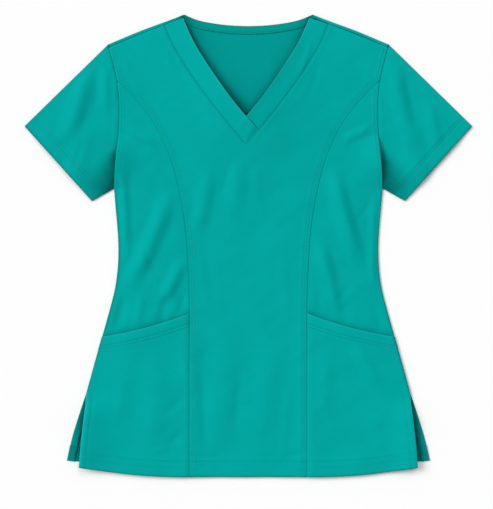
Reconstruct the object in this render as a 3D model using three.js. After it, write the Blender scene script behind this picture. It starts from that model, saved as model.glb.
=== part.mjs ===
// A short-sleeved medical scrub top, laid flat on its back on a table.
//
// Millimetres. X runs across the garment, Y from the hem (-) to the neck (+), Z up from the table. The origin
// is on the table, under the middle of the garment's length and width.
//
// Every seam and edge is given on the garment's own pattern: `down` is the distance below the high shoulder
// points, and `out` the distance from the centre line. The back lies on the table, and the front lies on the
// back, a little lofted, with the soft folds that the cloth keeps when it is smoothed out by hand.

import * as THREE from 'three';

// Driving sizes
const LENGTH = 660; // high shoulder points to the front hem
const WALL = 1.2; // cloth with its seam allowances
const SEAM_GAP = 0.3; // between pieces that are sewn edge to edge
const LAYER_GAP = 0.3; // between pieces that lie on each other
const LOFT = 2; // how far the front stands off the back, away from the edges
const LOFT_RUN = 45; // over which the loft dies out towards a pressed edge
const FOLD_RUN = 16; // over which a fold dies out towards a pressed edge
const FOLD_TAPER = 0.35; // the share of a fold's length over which each end dies out
const NECK_SHIFT = -3; // the V sits a little off the centre line
const NECK_STAND = { height: 6, down: 115, radius: 86 }; // the front stands up round the V neck
const SHOULDER_ROLL = 3.3; // the back wraps over the shoulder edge, almost to the shoulder seam
const SHOULDER_DROP = 4.1; // the shoulder seam below the shoulder edge
const FACING_WIDTH = 11.5; // the strip inside the back neck
const HEM_EXTRA = 0.6; // the turned-up hem is thicker
const POCKET_GAPE = 2.4; // the pocket mouths stand open a little
const POCKET_GAPE_RUN = 46;
const BAND_LAP = 1.95; // how far the upper neck band rises to pass over the lower one
const BAND_LAP_RUN = 18; // over which it rises
const UNDERARM = { from: 172, to: 248.5, lift: 3.4, reach: 26 }; // the body's edge stands over the sleeve
const TUCK = { from: 186, to: 236, width: 7 }; // how far the sleeve runs in under the body there
const SLEEVE_DIP = { from: 160, full: 200, reach: 17 }; // the sleeve lies down beside the body there
const EDGE_BULGE = 0.9; // a folded edge rounds out

// The garment's outline and seams, each a smooth curve through these rows
const SHOULDER_EDGE = [
  { out: 92, down: 0 },
  { out: 106, down: 5.7 },
  { out: 152.5, down: 22.8 },
  { out: 193, down: 39.6 },
  { out: 200.5, down: 43.2 },
];
const BACK_NECK = [
  { out: 0, down: 16.8 },
  { out: 30, down: 15.3 },
  { out: 60, down: 11 },
  { out: 76, down: 6.8 },
  { out: 92, down: 0 },
];
const ARMHOLE = [
  { down: 43.2, out: 200.5 },
  { down: 58, out: 196.3 },
  { down: 83, out: 189.7 },
  { down: 110, out: 185.4 },
  { down: 137, out: 184.3 },
  { down: 169, out: 185.3 },
  { down: 194, out: 187.5 },
  { down: 225, out: 190.3 },
  { down: 248.5, out: 191.8 },
];
const SIDE_SEAM = [
  { down: 248.5, out: 191.8 },
  { down: 279, out: 189.2 },
  { down: 308, out: 186.7 },
  { down: 336, out: 185.5 },
  { down: 365, out: 186.8 },
  { down: 394, out: 191 },
  { down: 436, out: 202 },
  { down: 493, out: 218.3 },
  { down: 541, out: 231.5 },
];
const FRONT_VENT = [
  { down: 541, out: 231.5 },
  { down: 565, out: 233.2 },
  { down: 607, out: 238 },
  { down: 645.5, out: 241 },
];
const BACK_VENT = [
  { down: 541, out: 231.8 },
  { down: 579, out: 244.3 },
  { down: 607, out: 252.6 },
  { down: 636.8, out: 259 },
];
const PRINCESS_SEAM = [
  { down: 97, out: 184.6 },
  { down: 114, out: 167 },
  { down: 139, out: 145.5 },
  { down: 161.5, out: 130.8 },
  { down: 186, out: 118.8 },
  { down: 215, out: 107.5 },
  { down: 262, out: 96.3 },
  { down: 310, out: 89 },
  { down: 365, out: 85.4 },
  { down: 415, out: 83.6 },
  { down: 480, out: 83.5 },
  { down: 660, out: 83.5 },
];
const NECK_EDGE = [
  { down: 0, out: 92 },
  { down: 35, out: 77 },
  { down: 59, out: 63.5 },
  { down: 100, out: 36.5 },
  { down: 122, out: 20.5 },
  { down: 147, out: 0 },
  { down: 166.6, out: -17.2 },
];
const BAND_SEAM = [
  { down: 13.2, out: 117.5 },
  { down: 42, out: 105.2 },
  { down: 66, out: 91.2 },
  { down: 83, out: 80.5 },
  { down: 107, out: 63.8 },
  { down: 132.6, out: 44.8 },
  { down: 165, out: 18.6 },
  { down: 187, out: 0 },
];
const CUFF = { tip: { out: 319.6, down: 159.4 }, corner: { out: 223.5, down: 266.3 } };

// The sections of the front, from the armhole to the hem: where each meets the centre line or the neck band
// (`middle`), the princess seam (`seam`) and the outer edge (`edge`), how far it bows down across the side
// panel, and in how many cells it runs on to the next
const SECTIONS = [
  { middle: 66, seam: 97, edge: 102, bow: 0, cells: 2 },
  { middle: 101, seam: 118, edge: 134, bow: 0, cells: 2 },
  { middle: 140, seam: 146, edge: 170, bow: 0, cells: 3 },
  { middle: 187, seam: 183, edge: 210, bow: 0, cells: 3 },
  { middle: 222, seam: 219, edge: 248.5, bow: 0, cells: 3 },
  { middle: 262, seam: 262, edge: 290, bow: 0, cells: 4 },
  { middle: 315, seam: 315, edge: 339, bow: 0, cells: 4 },
  { middle: 370, seam: 370, edge: 395, bow: 1, cells: 4 },
  { middle: 426.5, seam: 426.5, edge: 460, bow: 3.6, cells: 4 },
  { middle: 482, seam: 482, edge: 505, bow: 3.2, cells: 3 },
  { middle: 530, seam: 530, edge: 541, bow: 3, cells: 4 },
  { middle: 590, seam: 590, edge: 586, bow: 3.6, cells: 3 },
  { middle: 638, seam: 638, edge: 625, bow: 4, cells: 2 },
  { middle: 660, seam: 660, edge: 645.5, bow: 4.2, cells: 0 },
];
const POCKET_SECTION = 8; // the section that the pocket's mouth follows
const HEM_SECTION = 12; // the section where the turned-up hem ends
const YOKE_ROWS = 4; // from the armhole end of the princess seam up to the shoulder seam

// The sections of the back. `top` is how much of the neck and shoulder line's shape a section keeps
const BACK_SECTIONS = [
  { middle: 35, edge: 61, top: 0.83, cells: 1 },
  { middle: 50, edge: 75, top: 0.7, cells: 2 },
  { middle: 85, edge: 106, top: 0.42, cells: 2 },
  { middle: 125, edge: 140, top: 0.2, cells: 2 },
  { middle: 165, edge: 175, top: 0.07, cells: 2 },
  { middle: 205, edge: 211, top: 0, cells: 2 },
  { middle: 246, edge: 248.5, top: 0, cells: 3 },
  { middle: 336, edge: 336, top: 0, cells: 4 },
  { middle: 436, edge: 436, top: 0, cells: 3 },
  { middle: 541, edge: 541, top: 0, cells: 3 },
  { middle: 652, edge: 636.8, top: 0, cells: 0 },
];

// The neck band's free edge, level with each place down its seam
const BAND_RAKE = [
  { seam: 14.8, edge: 5 },
  { seam: 48, edge: 35 },
  { seam: 83, edge: 66 },
  { seam: 120, edge: 101 },
  { seam: 154, edge: 135 },
  { seam: 187, edge: 166.6 },
];

// The soft folds of the front: each a ridge from one place to another, `half` wide on each side of its crest
const FOLDS = [
  { name: 'left waist, long', x0: -108, down0: 237, x1: -180, down1: 405, half: 19, height: 4.2, bow: 6 },
  { name: 'left waist, short', x0: -93, down0: 345, x1: -127, down1: 418, half: 14, height: 3, bow: 2 },
  { name: 'left side', x0: -181, down0: 205, x1: -175, down1: 362, half: 12, height: 3, bow: 0 },
  { name: 'left bust', x0: -184, down0: 163, x1: -124, down1: 189, half: 12, height: 2.2, bow: 2 },
  { name: 'right waist, long', x0: 118, down0: 208, x1: 162, down1: 366, half: 18, height: 4, bow: -4 },
  { name: 'right waist, short', x0: 97, down0: 312, x1: 138, down1: 436, half: 16, height: 3.6, bow: -3 },
  { name: 'right side', x0: 181, down0: 250, x1: 181, down1: 400, half: 11, height: 2.4, bow: 0 },
  { name: 'right bust', x0: 181, down0: 162, x1: 131, down1: 184, half: 11, height: 1.9, bow: -2 },
  { name: 'under the left bust', x0: -50, down0: 190, x1: -71, down1: 304, half: 17, height: 2.8, bow: 3 },
  { name: 'middle, upper', x0: -13, down0: 200, x1: -24, down1: 300, half: 20, height: 1.7, bow: 0 },
  { name: 'middle, lower right', x0: 36, down0: 462, x1: 10, down1: 612, half: 28, height: 2.6, bow: 0 },
  { name: 'middle, lower left', x0: -33, down0: 440, x1: -44, down1: 630, half: 28, height: 2, bow: 0 },
  { name: 'left seam', x0: -79, down0: 400, x1: -79, down1: 690, half: 15, height: 1.7, bow: 0 },
  { name: 'right seam', x0: 79, down0: 380, x1: 79, down1: 690, half: 15, height: 1.5, bow: 0 },
  { name: 'left pocket', x0: -129, down0: 466, x1: -141, down1: 640, half: 26, height: 3, bow: 0 },
  { name: 'right pocket', x0: 111, down0: 466, x1: 105, down1: 590, half: 19, height: 2.4, bow: 0 },
  { name: 'right pocket, slanting', x0: 147, down0: 468, x1: 190, down1: 532, half: 13, height: 2, bow: 0 },
  { name: 'left sleeve, long', x0: -229, down0: 62, x1: -268, down1: 194, half: 19, height: 4, bow: 6 },
  { name: 'left sleeve, cap', x0: -207, down0: 62, x1: -200, down1: 152, half: 11, height: 2.2, bow: 0 },
  { name: 'left sleeve, under', x0: -212, down0: 158, x1: -236, down1: 244, half: 14, height: 3, bow: 0 },
  { name: 'right sleeve, long', x0: 205, down0: 60, x1: 236, down1: 190, half: 18, height: 3.8, bow: -4 },
  { name: 'right sleeve, outer', x0: 255, down0: 116, x1: 272, down1: 200, half: 15, height: 2.4, bow: 0 },
  { name: 'right sleeve, under', x0: 206, down0: 188, x1: 229, down1: 250, half: 12, height: 2.8, bow: 0 },
];

// Cells across each piece
const CENTRE_COLUMNS = 7;
const SIDE_COLUMNS = 8;
const BACK_LINES = [0, 23, 46, 69, 88, 92, 95.5, 120, 147, 174, 200.5]; // where the columns start at the top
const BAND_COLUMNS = 2;
const FACING_COLUMNS = 16;
const SLEEVE_COLUMNS = 17;
const SLEEVE_ROWS = 9;
const WELD = 1e-3; // points nearer than this are one

const { lerp, clamp, smoothstep } = THREE.MathUtils;

// The value of `to` at a place on a table's `from` column, on a smooth curve through its rows
function smooth(table, at, from, to) {
  const last = table.length - 1;
  let i = 0;
  while (i < last - 1 && at > table[i + 1][from]) i += 1;
  const slope = (a, b) => (table[b][to] - table[a][to]) / (table[b][from] - table[a][from]);
  const run = table[i + 1][from] - table[i][from];
  const start = slope(Math.max(i - 1, 0), i + 1) * run;
  const end = slope(i, Math.min(i + 2, last)) * run;
  const t = clamp((at - table[i][from]) / run, 0, 1);
  const t2 = t * t;
  const t3 = t2 * t;
  return (
    (2 * t3 - 3 * t2 + 1) * table[i][to] +
    (t3 - 2 * t2 + t) * start +
    (3 * t2 - 2 * t3) * table[i + 1][to] +
    (t3 - t2) * end
  );
}

const outAt = (table, down) => smooth(table, down, 'down', 'out');
const downAt = (table, out) => smooth(table, out, 'out', 'down');

// A place on the pattern: x across, down below the high shoulder points
const place = (x, down) => ({ x, down });
const between = (a, b, t) => place(lerp(a.x, b.x, t), lerp(a.down, b.down, t));

function frontEdge(down) {
  if (down < ARMHOLE.at(-1).down) return outAt(ARMHOLE, down);
  return down < SIDE_SEAM.at(-1).down ? outAt(SIDE_SEAM, down) : outAt(FRONT_VENT, down);
}

function backEdge(down) {
  if (down < ARMHOLE.at(-1).down) return outAt(ARMHOLE, down);
  return down < SIDE_SEAM.at(-1).down ? outAt(SIDE_SEAM, down) : outAt(BACK_VENT, down);
}

// The pressed edges of the right half, as points: shoulder, sleeve top, underarm and side
function pressedEdges() {
  const shoulder = SHOULDER_EDGE.map((p) => place(p.out, p.down));
  const side = SIDE_SEAM.map((p) => place(p.out, p.down));
  const tip = place(CUFF.tip.out, CUFF.tip.down);
  const corner = place(CUFF.corner.out, CUFF.corner.down);
  return [
    [...shoulder, tip],
    [corner, ...side],
  ];
}
const PRESSED = pressedEdges();

function distanceToSegment(x, down, a, b) {
  const dx = b.x - a.x;
  const dy = b.down - a.down;
  const t = clamp(((x - a.x) * dx + (down - a.down) * dy) / (dx * dx + dy * dy), 0, 1);
  return Math.hypot(x - a.x - t * dx, down - a.down - t * dy);
}

function distanceToPressedEdge(x, down) {
  let nearest = Infinity;
  for (const line of PRESSED)
    for (let i = 0; i + 1 < line.length; i += 1)
      nearest = Math.min(nearest, distanceToSegment(Math.abs(x), down, line[i], line[i + 1]));
  return nearest;
}

function foldHeight(fold, x, down) {
  const dx = fold.x1 - fold.x0;
  const dy = fold.down1 - fold.down0;
  const length = Math.hypot(dx, dy);
  const along = ((x - fold.x0) * dx + (down - fold.down0) * dy) / (length * length);
  if (along <= 0 || along >= 1) return 0;
  const aside = ((x - fold.x0) * dy - (down - fold.down0) * dx) / length;
  const off = Math.abs(aside - fold.bow * 4 * along * (1 - along)) / fold.half;
  if (off >= 1) return 0;
  const taper = smoothstep(Math.min(along, 1 - along), 0, FOLD_TAPER);
  return fold.height * taper * Math.cos((off * Math.PI) / 2) ** 2;
}

// How high the underside of the front layer lies over a place on the pattern
function restHeight(x, down) {
  const inside = distanceToPressedEdge(x, down);
  const folds = FOLDS.reduce((sum, fold) => sum + foldHeight(fold, x, down), 0);
  const neck = Math.exp(
    -((x / NECK_STAND.radius) ** 2) - ((down - NECK_STAND.down) / NECK_STAND.radius) ** 2,
  );
  return (
    WALL +
    LAYER_GAP +
    LOFT * smoothstep(inside, 0, LOFT_RUN) +
    (folds + NECK_STAND.height * neck) * smoothstep(inside, 0, FOLD_RUN)
  );
}

// The body's front stands up along the lower armhole, over the sleeve
function bodyHeight(x, down) {
  const along = (down - UNDERARM.from) / (UNDERARM.to - UNDERARM.from);
  if (along <= 0 || along >= 1) return restHeight(x, down);
  const inside = Math.max(0, frontEdge(down) - Math.abs(x));
  const lift = UNDERARM.lift * Math.sin(Math.PI * along) * Math.exp(-((inside / UNDERARM.reach) ** 2));
  return restHeight(x, down) + lift;
}

// The sleeve lies flat beside and under the body's edge there
function sleeveHeight(x, down) {
  const low = WALL + LAYER_GAP;
  const aside = Math.max(0, Math.abs(x) - outAt(ARMHOLE, Math.min(down, UNDERARM.to)));
  const dip = smoothstep(down, SLEEVE_DIP.from, SLEEVE_DIP.full) * Math.exp(-((aside / SLEEVE_DIP.reach) ** 2));
  return low + (restHeight(x, down) - low) * (1 - dip);
}

function tuckAt(down) {
  const along = clamp((down - TUCK.from) / (TUCK.to - TUCK.from), 0, 1);
  return TUCK.width * Math.sin(Math.PI * along) ** 2;
}

const point = (at, z) => new THREE.Vector3(at.x, LENGTH / 2 - at.down, z);

// Grids of places. Each is a list of rows, and a row is a list of places.
const grid = (rows, columns, at) =>
  Array.from({ length: rows + 1 }, (_, i) => Array.from({ length: columns + 1 }, (_, j) => at(i, j)));

// A sheet of cloth as a closed solid: patches of outer points with inner points facing them. Points that two
// patches share are welded, and the sheet's free edges get a wall.
function sheetGeometry(patches) {
  const positions = [];
  const index = new Map();
  const triangles = [];
  const edges = new Map();

  const weld = (p) => {
    const key = [p.x, p.y, p.z].map((v) => Math.round(v / WELD)).join();
    if (!index.has(key)) {
      index.set(key, positions.length / 3);
      positions.push(p.x, p.y, p.z);
    }
    return index.get(key);
  };
  const face = (a, b, c) => {
    if (a !== b && b !== c && c !== a) triangles.push(a, b, c);
  };
  const edge = (a, b, innerA, innerB) => {
    if (a === b) return;
    if (edges.has(`${b},${a}`)) edges.delete(`${b},${a}`);
    else edges.set(`${a},${b}`, [a, b, innerA, innerB]);
  };

  for (const { outer, inner } of patches)
    for (let i = 0; i + 1 < outer.length; i += 1)
      for (let j = 0; j + 1 < outer[i].length; j += 1) {
        const corners = [
          [i, j],
          [i, j + 1],
          [i + 1, j + 1],
          [i + 1, j],
        ];
        const out = corners.map(([r, c]) => weld(outer[r][c]));
        const back = corners.map(([r, c]) => weld(inner[r][c]));
        face(out[0], out[1], out[2]);
        face(out[0], out[2], out[3]);
        face(back[0], back[2], back[1]);
        face(back[0], back[3], back[2]);
        for (let k = 0; k < 4; k += 1) edge(out[k], out[(k + 1) % 4], back[k], back[(k + 1) % 4]);
      }
  for (const [a, b, innerA, innerB] of edges.values()) {
    face(b, a, innerA);
    face(b, innerA, innerB);
  }

  const geometry = new THREE.BufferGeometry();
  geometry.setAttribute('position', new THREE.Float32BufferAttribute(positions, 3));
  geometry.setIndex(triangles);
  geometry.computeVertexNormals();
  return geometry;
}

// A panel that lies over the table: its places, the height of its underside there, and its thickness there
function panel(places, height, thickness = () => WALL) {
  const inner = places.map((row, i) => row.map((at, j) => point(at, height(at, i, j))));
  const outer = inner.map((row, i) =>
    row.map((p, j) => p.clone().setZ(p.z + thickness(places[i][j], i, j))),
  );
  return { outer, inner };
}

// The stations of a piece's sections: a smooth run through each column, with the cells between the sections
function stations(sections, columns) {
  const keyed = sections.map((section, i) => ({ ...section, at: i }));
  return sections.flatMap(({ cells }, i) =>
    Array.from({ length: Math.max(cells, 1) }, (_, k) => {
      const at = i + (cells ? k / cells : 0);
      const values = columns.map((column) => [column, smooth(keyed, at, 'at', column)]);
      return { at, ...Object.fromEntries(values) };
    }),
  );
}
const STATIONS = stations(SECTIONS, ['middle', 'seam', 'edge', 'bow']);
const V_STATION = STATIONS.findIndex((s) => s.at === 3);
const POCKET_STATION = STATIONS.findIndex((s) => s.at === POCKET_SECTION);
const HEM_STATION = STATIONS.findIndex((s) => s.at === HEM_SECTION);

const turned = (rows, side) => (side > 0 ? rows : rows.map((row) => [...row].reverse()));

const cloth = new THREE.MeshStandardMaterial({ color: 0x03a49e, roughness: 0.82, metalness: 0 });
const clothInside = new THREE.MeshStandardMaterial({ color: 0x05968f, roughness: 0.86, metalness: 0 });

function mesh(name, patches, material = cloth) {
  const made = new THREE.Mesh(sheetGeometry(patches), material.clone());
  made.name = name;
  return made;
}

// The front's top edge, against the shoulder seam
const shoulderSeam = (out) => downAt(SHOULDER_EDGE, out) + SHOULDER_DROP + SEAM_GAP;

// The rows of the middle panel: where each starts, on the neck band or the centre line, and where it ends
function centreRows() {
  const [yoke] = SECTIONS;
  const top = { middle: shoulderSeam(BAND_SEAM[0].out), edge: shoulderSeam(ARMHOLE[0].out) };
  const above = Array.from({ length: YOKE_ROWS }, (_, i) => {
    const raise = 1 - i / YOKE_ROWS;
    return {
      middle: lerp(yoke.middle, top.middle, raise),
      edge: lerp(yoke.edge, top.edge, raise),
      band: true,
      raise,
    };
  });
  const below = STATIONS.map((s, i) => ({ middle: s.middle, edge: s.seam, band: i < V_STATION, raise: 0 }));
  return [...above, ...below];
}

// Front, middle panel: two halves that share the centre line below the V
function frontCentre() {
  const rows = centreRows();
  const vRow = YOKE_ROWS + V_STATION;
  const hem = YOKE_ROWS + HEM_STATION;
  const half = (side) => {
    const places = grid(rows.length - 1, CENTRE_COLUMNS, (i, j) => {
      const { middle, edge, band, raise } = rows[i];
      const inner = band ? outAt(BAND_SEAM, middle) + SEAM_GAP : 0;
      const outer = outAt(i < YOKE_ROWS ? ARMHOLE : PRINCESS_SEAM, edge) - SEAM_GAP / 2;
      const from = place(side * inner + NECK_SHIFT, i === vRow ? middle + 2 * SEAM_GAP : middle);
      const at = between(from, place(side * outer, edge), j / CENTRE_COLUMNS);
      const follow = shoulderSeam(Math.abs(at.x)) - lerp(rows[0].middle, rows[0].edge, j / CENTRE_COLUMNS);
      return place(at.x, at.down + raise * Math.max(0, follow));
    });
    const last = rows.length - 1;
    const thickness = (at, i) => WALL + (last - i > hem ? HEM_EXTRA : 0);
    return panel(turned([...places].reverse(), side), (at) => bodyHeight(at.x, at.down), thickness);
  };
  return mesh('front_centre', [half(1), half(-1)]);
}

// The places of a side panel, from the armhole down to the hem
function sidePlaces(side) {
  const rows = STATIONS.length - 1;
  return grid(rows, SIDE_COLUMNS, (i, j) => {
    const { seam, edge, bow } = STATIONS[i];
    const u = j / SIDE_COLUMNS;
    const inner = outAt(PRINCESS_SEAM, seam) + SEAM_GAP / 2;
    const outer = frontEdge(edge) - SEAM_GAP / 2;
    const at = between(place(side * inner, seam), place(side * outer, edge), u);
    return place(at.x, at.down + bow * 4 * u * (1 - u));
  });
}

function frontSide(name, side) {
  const places = turned([...sidePlaces(side)].reverse(), side);
  return mesh(name, [panel(places, (at) => bodyHeight(at.x, at.down))]);
}

// A pocket lies on the lower side panel, made from the panel's own places, and is open along its slanting top
function pocket(name, side) {
  const places = turned([...sidePlaces(side).slice(POCKET_STATION)].reverse(), side);
  const mouth = places.length - 1;
  const hem = STATIONS.length - 1 - HEM_STATION;
  const height = (at, i, j) => {
    const u = j / SIDE_COLUMNS;
    const below = Math.abs(at.down - places[mouth][j].down);
    const gape = POCKET_GAPE * 4 * u * (1 - u) * (1 - smoothstep(below, 0, POCKET_GAPE_RUN));
    return bodyHeight(at.x, at.down) + WALL + LAYER_GAP + gape;
  };
  return mesh(name, [panel(places, height, (at, i) => WALL + (i < hem ? HEM_EXTRA : 0))]);
}

// The back's neck and shoulder line at a share u of the half width
function topLine(u) {
  const reach = SHOULDER_EDGE.at(-1).out * Math.abs(u);
  return reach < BACK_NECK.at(-1).out ? downAt(BACK_NECK, reach) : downAt(SHOULDER_EDGE, reach);
}

// Back: one panel on the table, whose shoulder edges wrap over to the front
function back() {
  const width = SHOULDER_EDGE.at(-1).out;
  const neck = BACK_NECK.at(-1).out;
  const shares = [...BACK_LINES.slice(1).map((out) => -out / width).reverse(), ...BACK_LINES.map((out) => out / width)];
  const topMiddle = BACK_NECK[0].down;
  const topEdge = SHOULDER_EDGE.at(-1).down;
  const topRow = (drop, rolled) => ({ middle: topMiddle + drop, edge: topEdge + drop, top: 1, rolled });
  const rows = [
    topRow(0, true),
    topRow(SHOULDER_ROLL, true),
    topRow(SHOULDER_DROP, false),
    ...stations(BACK_SECTIONS, ['middle', 'edge', 'top']),
  ].reverse();
  const places = rows.map(({ middle, edge, top }) =>
    shares.map((u) => {
      const level = lerp(middle, edge, u * u);
      const shape = topLine(u) - lerp(topMiddle, topEdge, u * u);
      return place((backEdge(edge) - SEAM_GAP / 2) * u, level + top * shape);
    }),
  );
  const wraps = (i, j) => rows[i].rolled && Math.abs(shares[j]) * width > neck + 1;
  const thickness = (at, i, j) => (wraps(i, j) ? 2 * WALL + LAYER_GAP : WALL);
  return mesh('back', [panel(places, () => 0, thickness)], clothInside);
}

// A neck band, from the shoulder seam to the V. The left one passes over the right one there.
function neckBand(name, side) {
  const over = side < 0;
  const seams = centreRows().slice(0, YOKE_ROWS + V_STATION + 1).map((row) => row.middle);
  const edges = seams.map((seam) => smooth(BAND_RAKE, seam, 'seam', 'edge'));
  const last = seams.length - 1;
  const places = grid(last, BAND_COLUMNS, (i, j) => {
    const from = place(side * outAt(NECK_EDGE, edges[i]) + NECK_SHIFT, edges[i]);
    const to = place(side * outAt(BAND_SEAM, seams[i]) + NECK_SHIFT, seams[i]);
    const at = between(from, to, j / BAND_COLUMNS);
    return place(at.x, Math.max(at.down, shoulderSeam(Math.abs(at.x))));
  });
  const vPoint = NECK_EDGE.find((row) => row.out === 0).down;
  const lap = (i) => BAND_LAP * smoothstep(edges[last - i], vPoint - BAND_LAP_RUN, vPoint - 1);
  const height = (at, i) => bodyHeight(at.x, at.down) + (over ? lap(i) : 0);
  return mesh(name, [panel(turned([...places].reverse(), side), height)]);
}

// The strip inside the back neck, on the back's inner face. Its ends meet the neck bands' free edges.
function neckFacing() {
  const neckPoint = BACK_NECK.at(-1).out;
  const rows = 2;
  const reach = (side, down) => Math.min(outAt(NECK_EDGE, down) + side * NECK_SHIFT, neckPoint) - 2 * SEAM_GAP;
  const places = grid(rows, FACING_COLUMNS, (i, j) => {
    const below = FACING_WIDTH * (1 - i / rows);
    const level = below + downAt(BACK_NECK, reach(1, below));
    const x = lerp(-reach(-1, level), reach(1, level), j / FACING_COLUMNS);
    return place(x, downAt(BACK_NECK, Math.abs(x)) + below);
  });
  return mesh('neck_facing', [panel(places, () => WALL + LAYER_GAP)], clothInside);
}

// A sleeve: one piece of cloth as a tube pressed flat, open at the cuff and the armhole
function sleeve(name, side) {
  const start = ARMHOLE[0].down;
  const end = ARMHOLE.at(-1).down;
  const at = (i, j, tucked) => {
    const t = j / SLEEVE_COLUMNS;
    const down = lerp(start, end, t);
    const out = outAt(ARMHOLE, down) + SEAM_GAP / 2 - (tucked ? tuckAt(down) : 0);
    const cuff = place(lerp(CUFF.tip.out, CUFF.corner.out, t), lerp(CUFF.tip.down, CUFF.corner.down, t));
    return between(place(out, down), cuff, i / SLEEVE_ROWS);
  };
  const inset = (i, j, tucked) => {
    const here = at(i, j, tucked);
    if (j > 0 && j < SLEEVE_COLUMNS) return here;
    const towards = at(i, j === 0 ? 1 : SLEEVE_COLUMNS - 1, tucked);
    const gap = Math.hypot(towards.x - here.x, towards.down - here.down);
    return between(here, towards, WALL / gap);
  };
  const bulged = (i, j) => {
    const here = at(i, j, false);
    const towards = at(i, j === 0 ? 1 : SLEEVE_COLUMNS - 1, false);
    const gap = Math.hypot(towards.x - here.x, towards.down - here.down);
    return between(here, towards, -EDGE_BULGE / gap);
  };
  const ring = (i) => {
    const outer = [];
    const inner = [];
    const add = (list, p, z) => list.push(point(place(side * p.x, p.down), z));
    const over = (p) => sleeveHeight(side * p.x, p.down);
    for (let j = SLEEVE_COLUMNS; j >= 0; j -= 1) {
      const p = at(i, j, true);
      add(outer, p, over(p) + WALL);
      add(inner, inset(i, j, true), over(p));
    }
    add(outer, bulged(i, 0), WALL);
    add(inner, inset(i, 0, false), WALL + LAYER_GAP / 2);
    for (let j = 0; j <= SLEEVE_COLUMNS; j += 1) {
      add(outer, at(i, j, false), 0);
      add(inner, inset(i, j, false), WALL);
    }
    add(outer, bulged(i, SLEEVE_COLUMNS), WALL);
    add(inner, inset(i, SLEEVE_COLUMNS, false), WALL + LAYER_GAP / 2);
    outer.push(outer[0].clone());
    inner.push(inner[0].clone());
    return { outer, inner };
  };
  const rings = Array.from({ length: SLEEVE_ROWS + 1 }, (_, i) => ring(i));
  const ordered = side < 0 ? rings : [...rings].reverse();
  return mesh(name, [{ outer: ordered.map((r) => r.outer), inner: ordered.map((r) => r.inner) }]);
}

const scrubTop = new THREE.Group();
scrubTop.add(
  back(),
  frontCentre(),
  frontSide('front_side_left', -1),
  frontSide('front_side_right', 1),
  sleeve('sleeve_left', -1),
  sleeve('sleeve_right', 1),
  neckBand('neck_band_left', -1),
  neckBand('neck_band_right', 1),
  neckFacing(),
  pocket('pocket_left', -1),
  pocket('pocket_right', 1),
);

export default scrubTop;
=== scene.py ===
"""A short-sleeved scrub top laid flat on its back: cut, sewn, lightly creased cloth in studio light."""

import math

import bmesh
import bpy
import numpy as np
from bpy.props import FloatProperty, FloatVectorProperty, PointerProperty
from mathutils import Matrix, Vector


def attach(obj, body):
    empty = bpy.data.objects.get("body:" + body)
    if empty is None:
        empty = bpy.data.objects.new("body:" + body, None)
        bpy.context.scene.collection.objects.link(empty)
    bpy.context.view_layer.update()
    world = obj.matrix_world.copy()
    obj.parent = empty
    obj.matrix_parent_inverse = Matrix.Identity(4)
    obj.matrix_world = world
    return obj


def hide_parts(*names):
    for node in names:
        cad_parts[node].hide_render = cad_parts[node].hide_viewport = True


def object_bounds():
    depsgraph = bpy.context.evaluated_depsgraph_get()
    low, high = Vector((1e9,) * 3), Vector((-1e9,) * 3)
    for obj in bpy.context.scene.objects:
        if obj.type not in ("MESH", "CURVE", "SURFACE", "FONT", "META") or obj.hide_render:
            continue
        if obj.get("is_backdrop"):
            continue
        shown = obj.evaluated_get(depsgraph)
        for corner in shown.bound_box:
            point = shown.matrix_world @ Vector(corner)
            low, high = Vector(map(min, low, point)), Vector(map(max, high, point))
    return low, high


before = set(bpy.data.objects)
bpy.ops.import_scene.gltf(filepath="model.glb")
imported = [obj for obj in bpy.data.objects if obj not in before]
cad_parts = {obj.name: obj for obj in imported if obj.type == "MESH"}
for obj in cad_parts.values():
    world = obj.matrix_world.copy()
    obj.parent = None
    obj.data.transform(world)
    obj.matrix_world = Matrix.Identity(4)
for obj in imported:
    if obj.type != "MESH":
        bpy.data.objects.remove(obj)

bl_info = {
    "name": "Scrub Top",
    "version": (1, 0, 0),
    "blender": (4, 5, 0),
    "location": "3D View > Sidebar > Scrub Top",
    "description": "Builds a medical scrub top, laid flat, piece by piece round its packed frame",
    "category": "Object",
}

# The pattern is in millimetres: x across from the centre line, down below the high shoulder points, z up
# from the table. Tables give (out, down) or (down, out), with out the distance from the centre line.
MM = 0.001
SIDES = ((-1, "left"), (1, "right"))
LENGTH = 660.0  # high shoulder points to the front hem
WALL = 1.2  # the height that the frame gives a layer of cloth
SEAM_GAP = 0.3  # between pieces that are sewn edge to edge
LAYER_GAP = 0.3  # between layers that lie on each other
LOFT = 2.0  # how far the front stands off the back, away from the edges
LOFT_RUN = 45.0  # over which the loft dies out towards a pressed edge
FOLD_RUN = 16.0  # over which a fold dies out towards a pressed edge
FOLD_TAPER = 0.35  # the share of a fold's length over which each end dies out
FOLD_GAIN = 1.3  # how much higher the soft folds stand than in their table
NECK_SHIFT = -3.0  # the V sits a little off the centre line
NECK_STAND = 12.5  # the front stands up round the V, most of all this far down
NECK_STAND_DOWN = 126.0
NECK_STAND_RADIUS = 86.0
SHOULDER_DROP = 4.1  # the shoulder seam below the shoulder edge
FACING_WIDTH = 11.5  # the strip inside the back of the neck
BAND_LEAN = 0.84  # a neck band's slope: the share of a level distance that lies square to it
BAND_LIP = 2.5  # how far a band's free edge stands up
LAP_RISE = 1.1  # how far the upper band rises over the lower one
LAP_BEYOND = 1.3  # how far a band's end runs on under the front
POCKET_GAPE = 2.4  # how far the pocket mouths stand open
POCKET_GAPE_RUN = 46.0
POCKET_RISE = 1.5  # how far a pocket lies above its panel
UNDERARM_FROM = 172.0  # the front's edge stands over the sleeve between these two
UNDERARM_TO = 248.5
UNDERARM_LIFT = 8.0
UNDERARM_REACH = 24.0
VENT_LIFT = 7.0  # the front's edge stands up beside its vent
VENT_REACH = 26.0
VENT_RISE = 40.0
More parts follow.
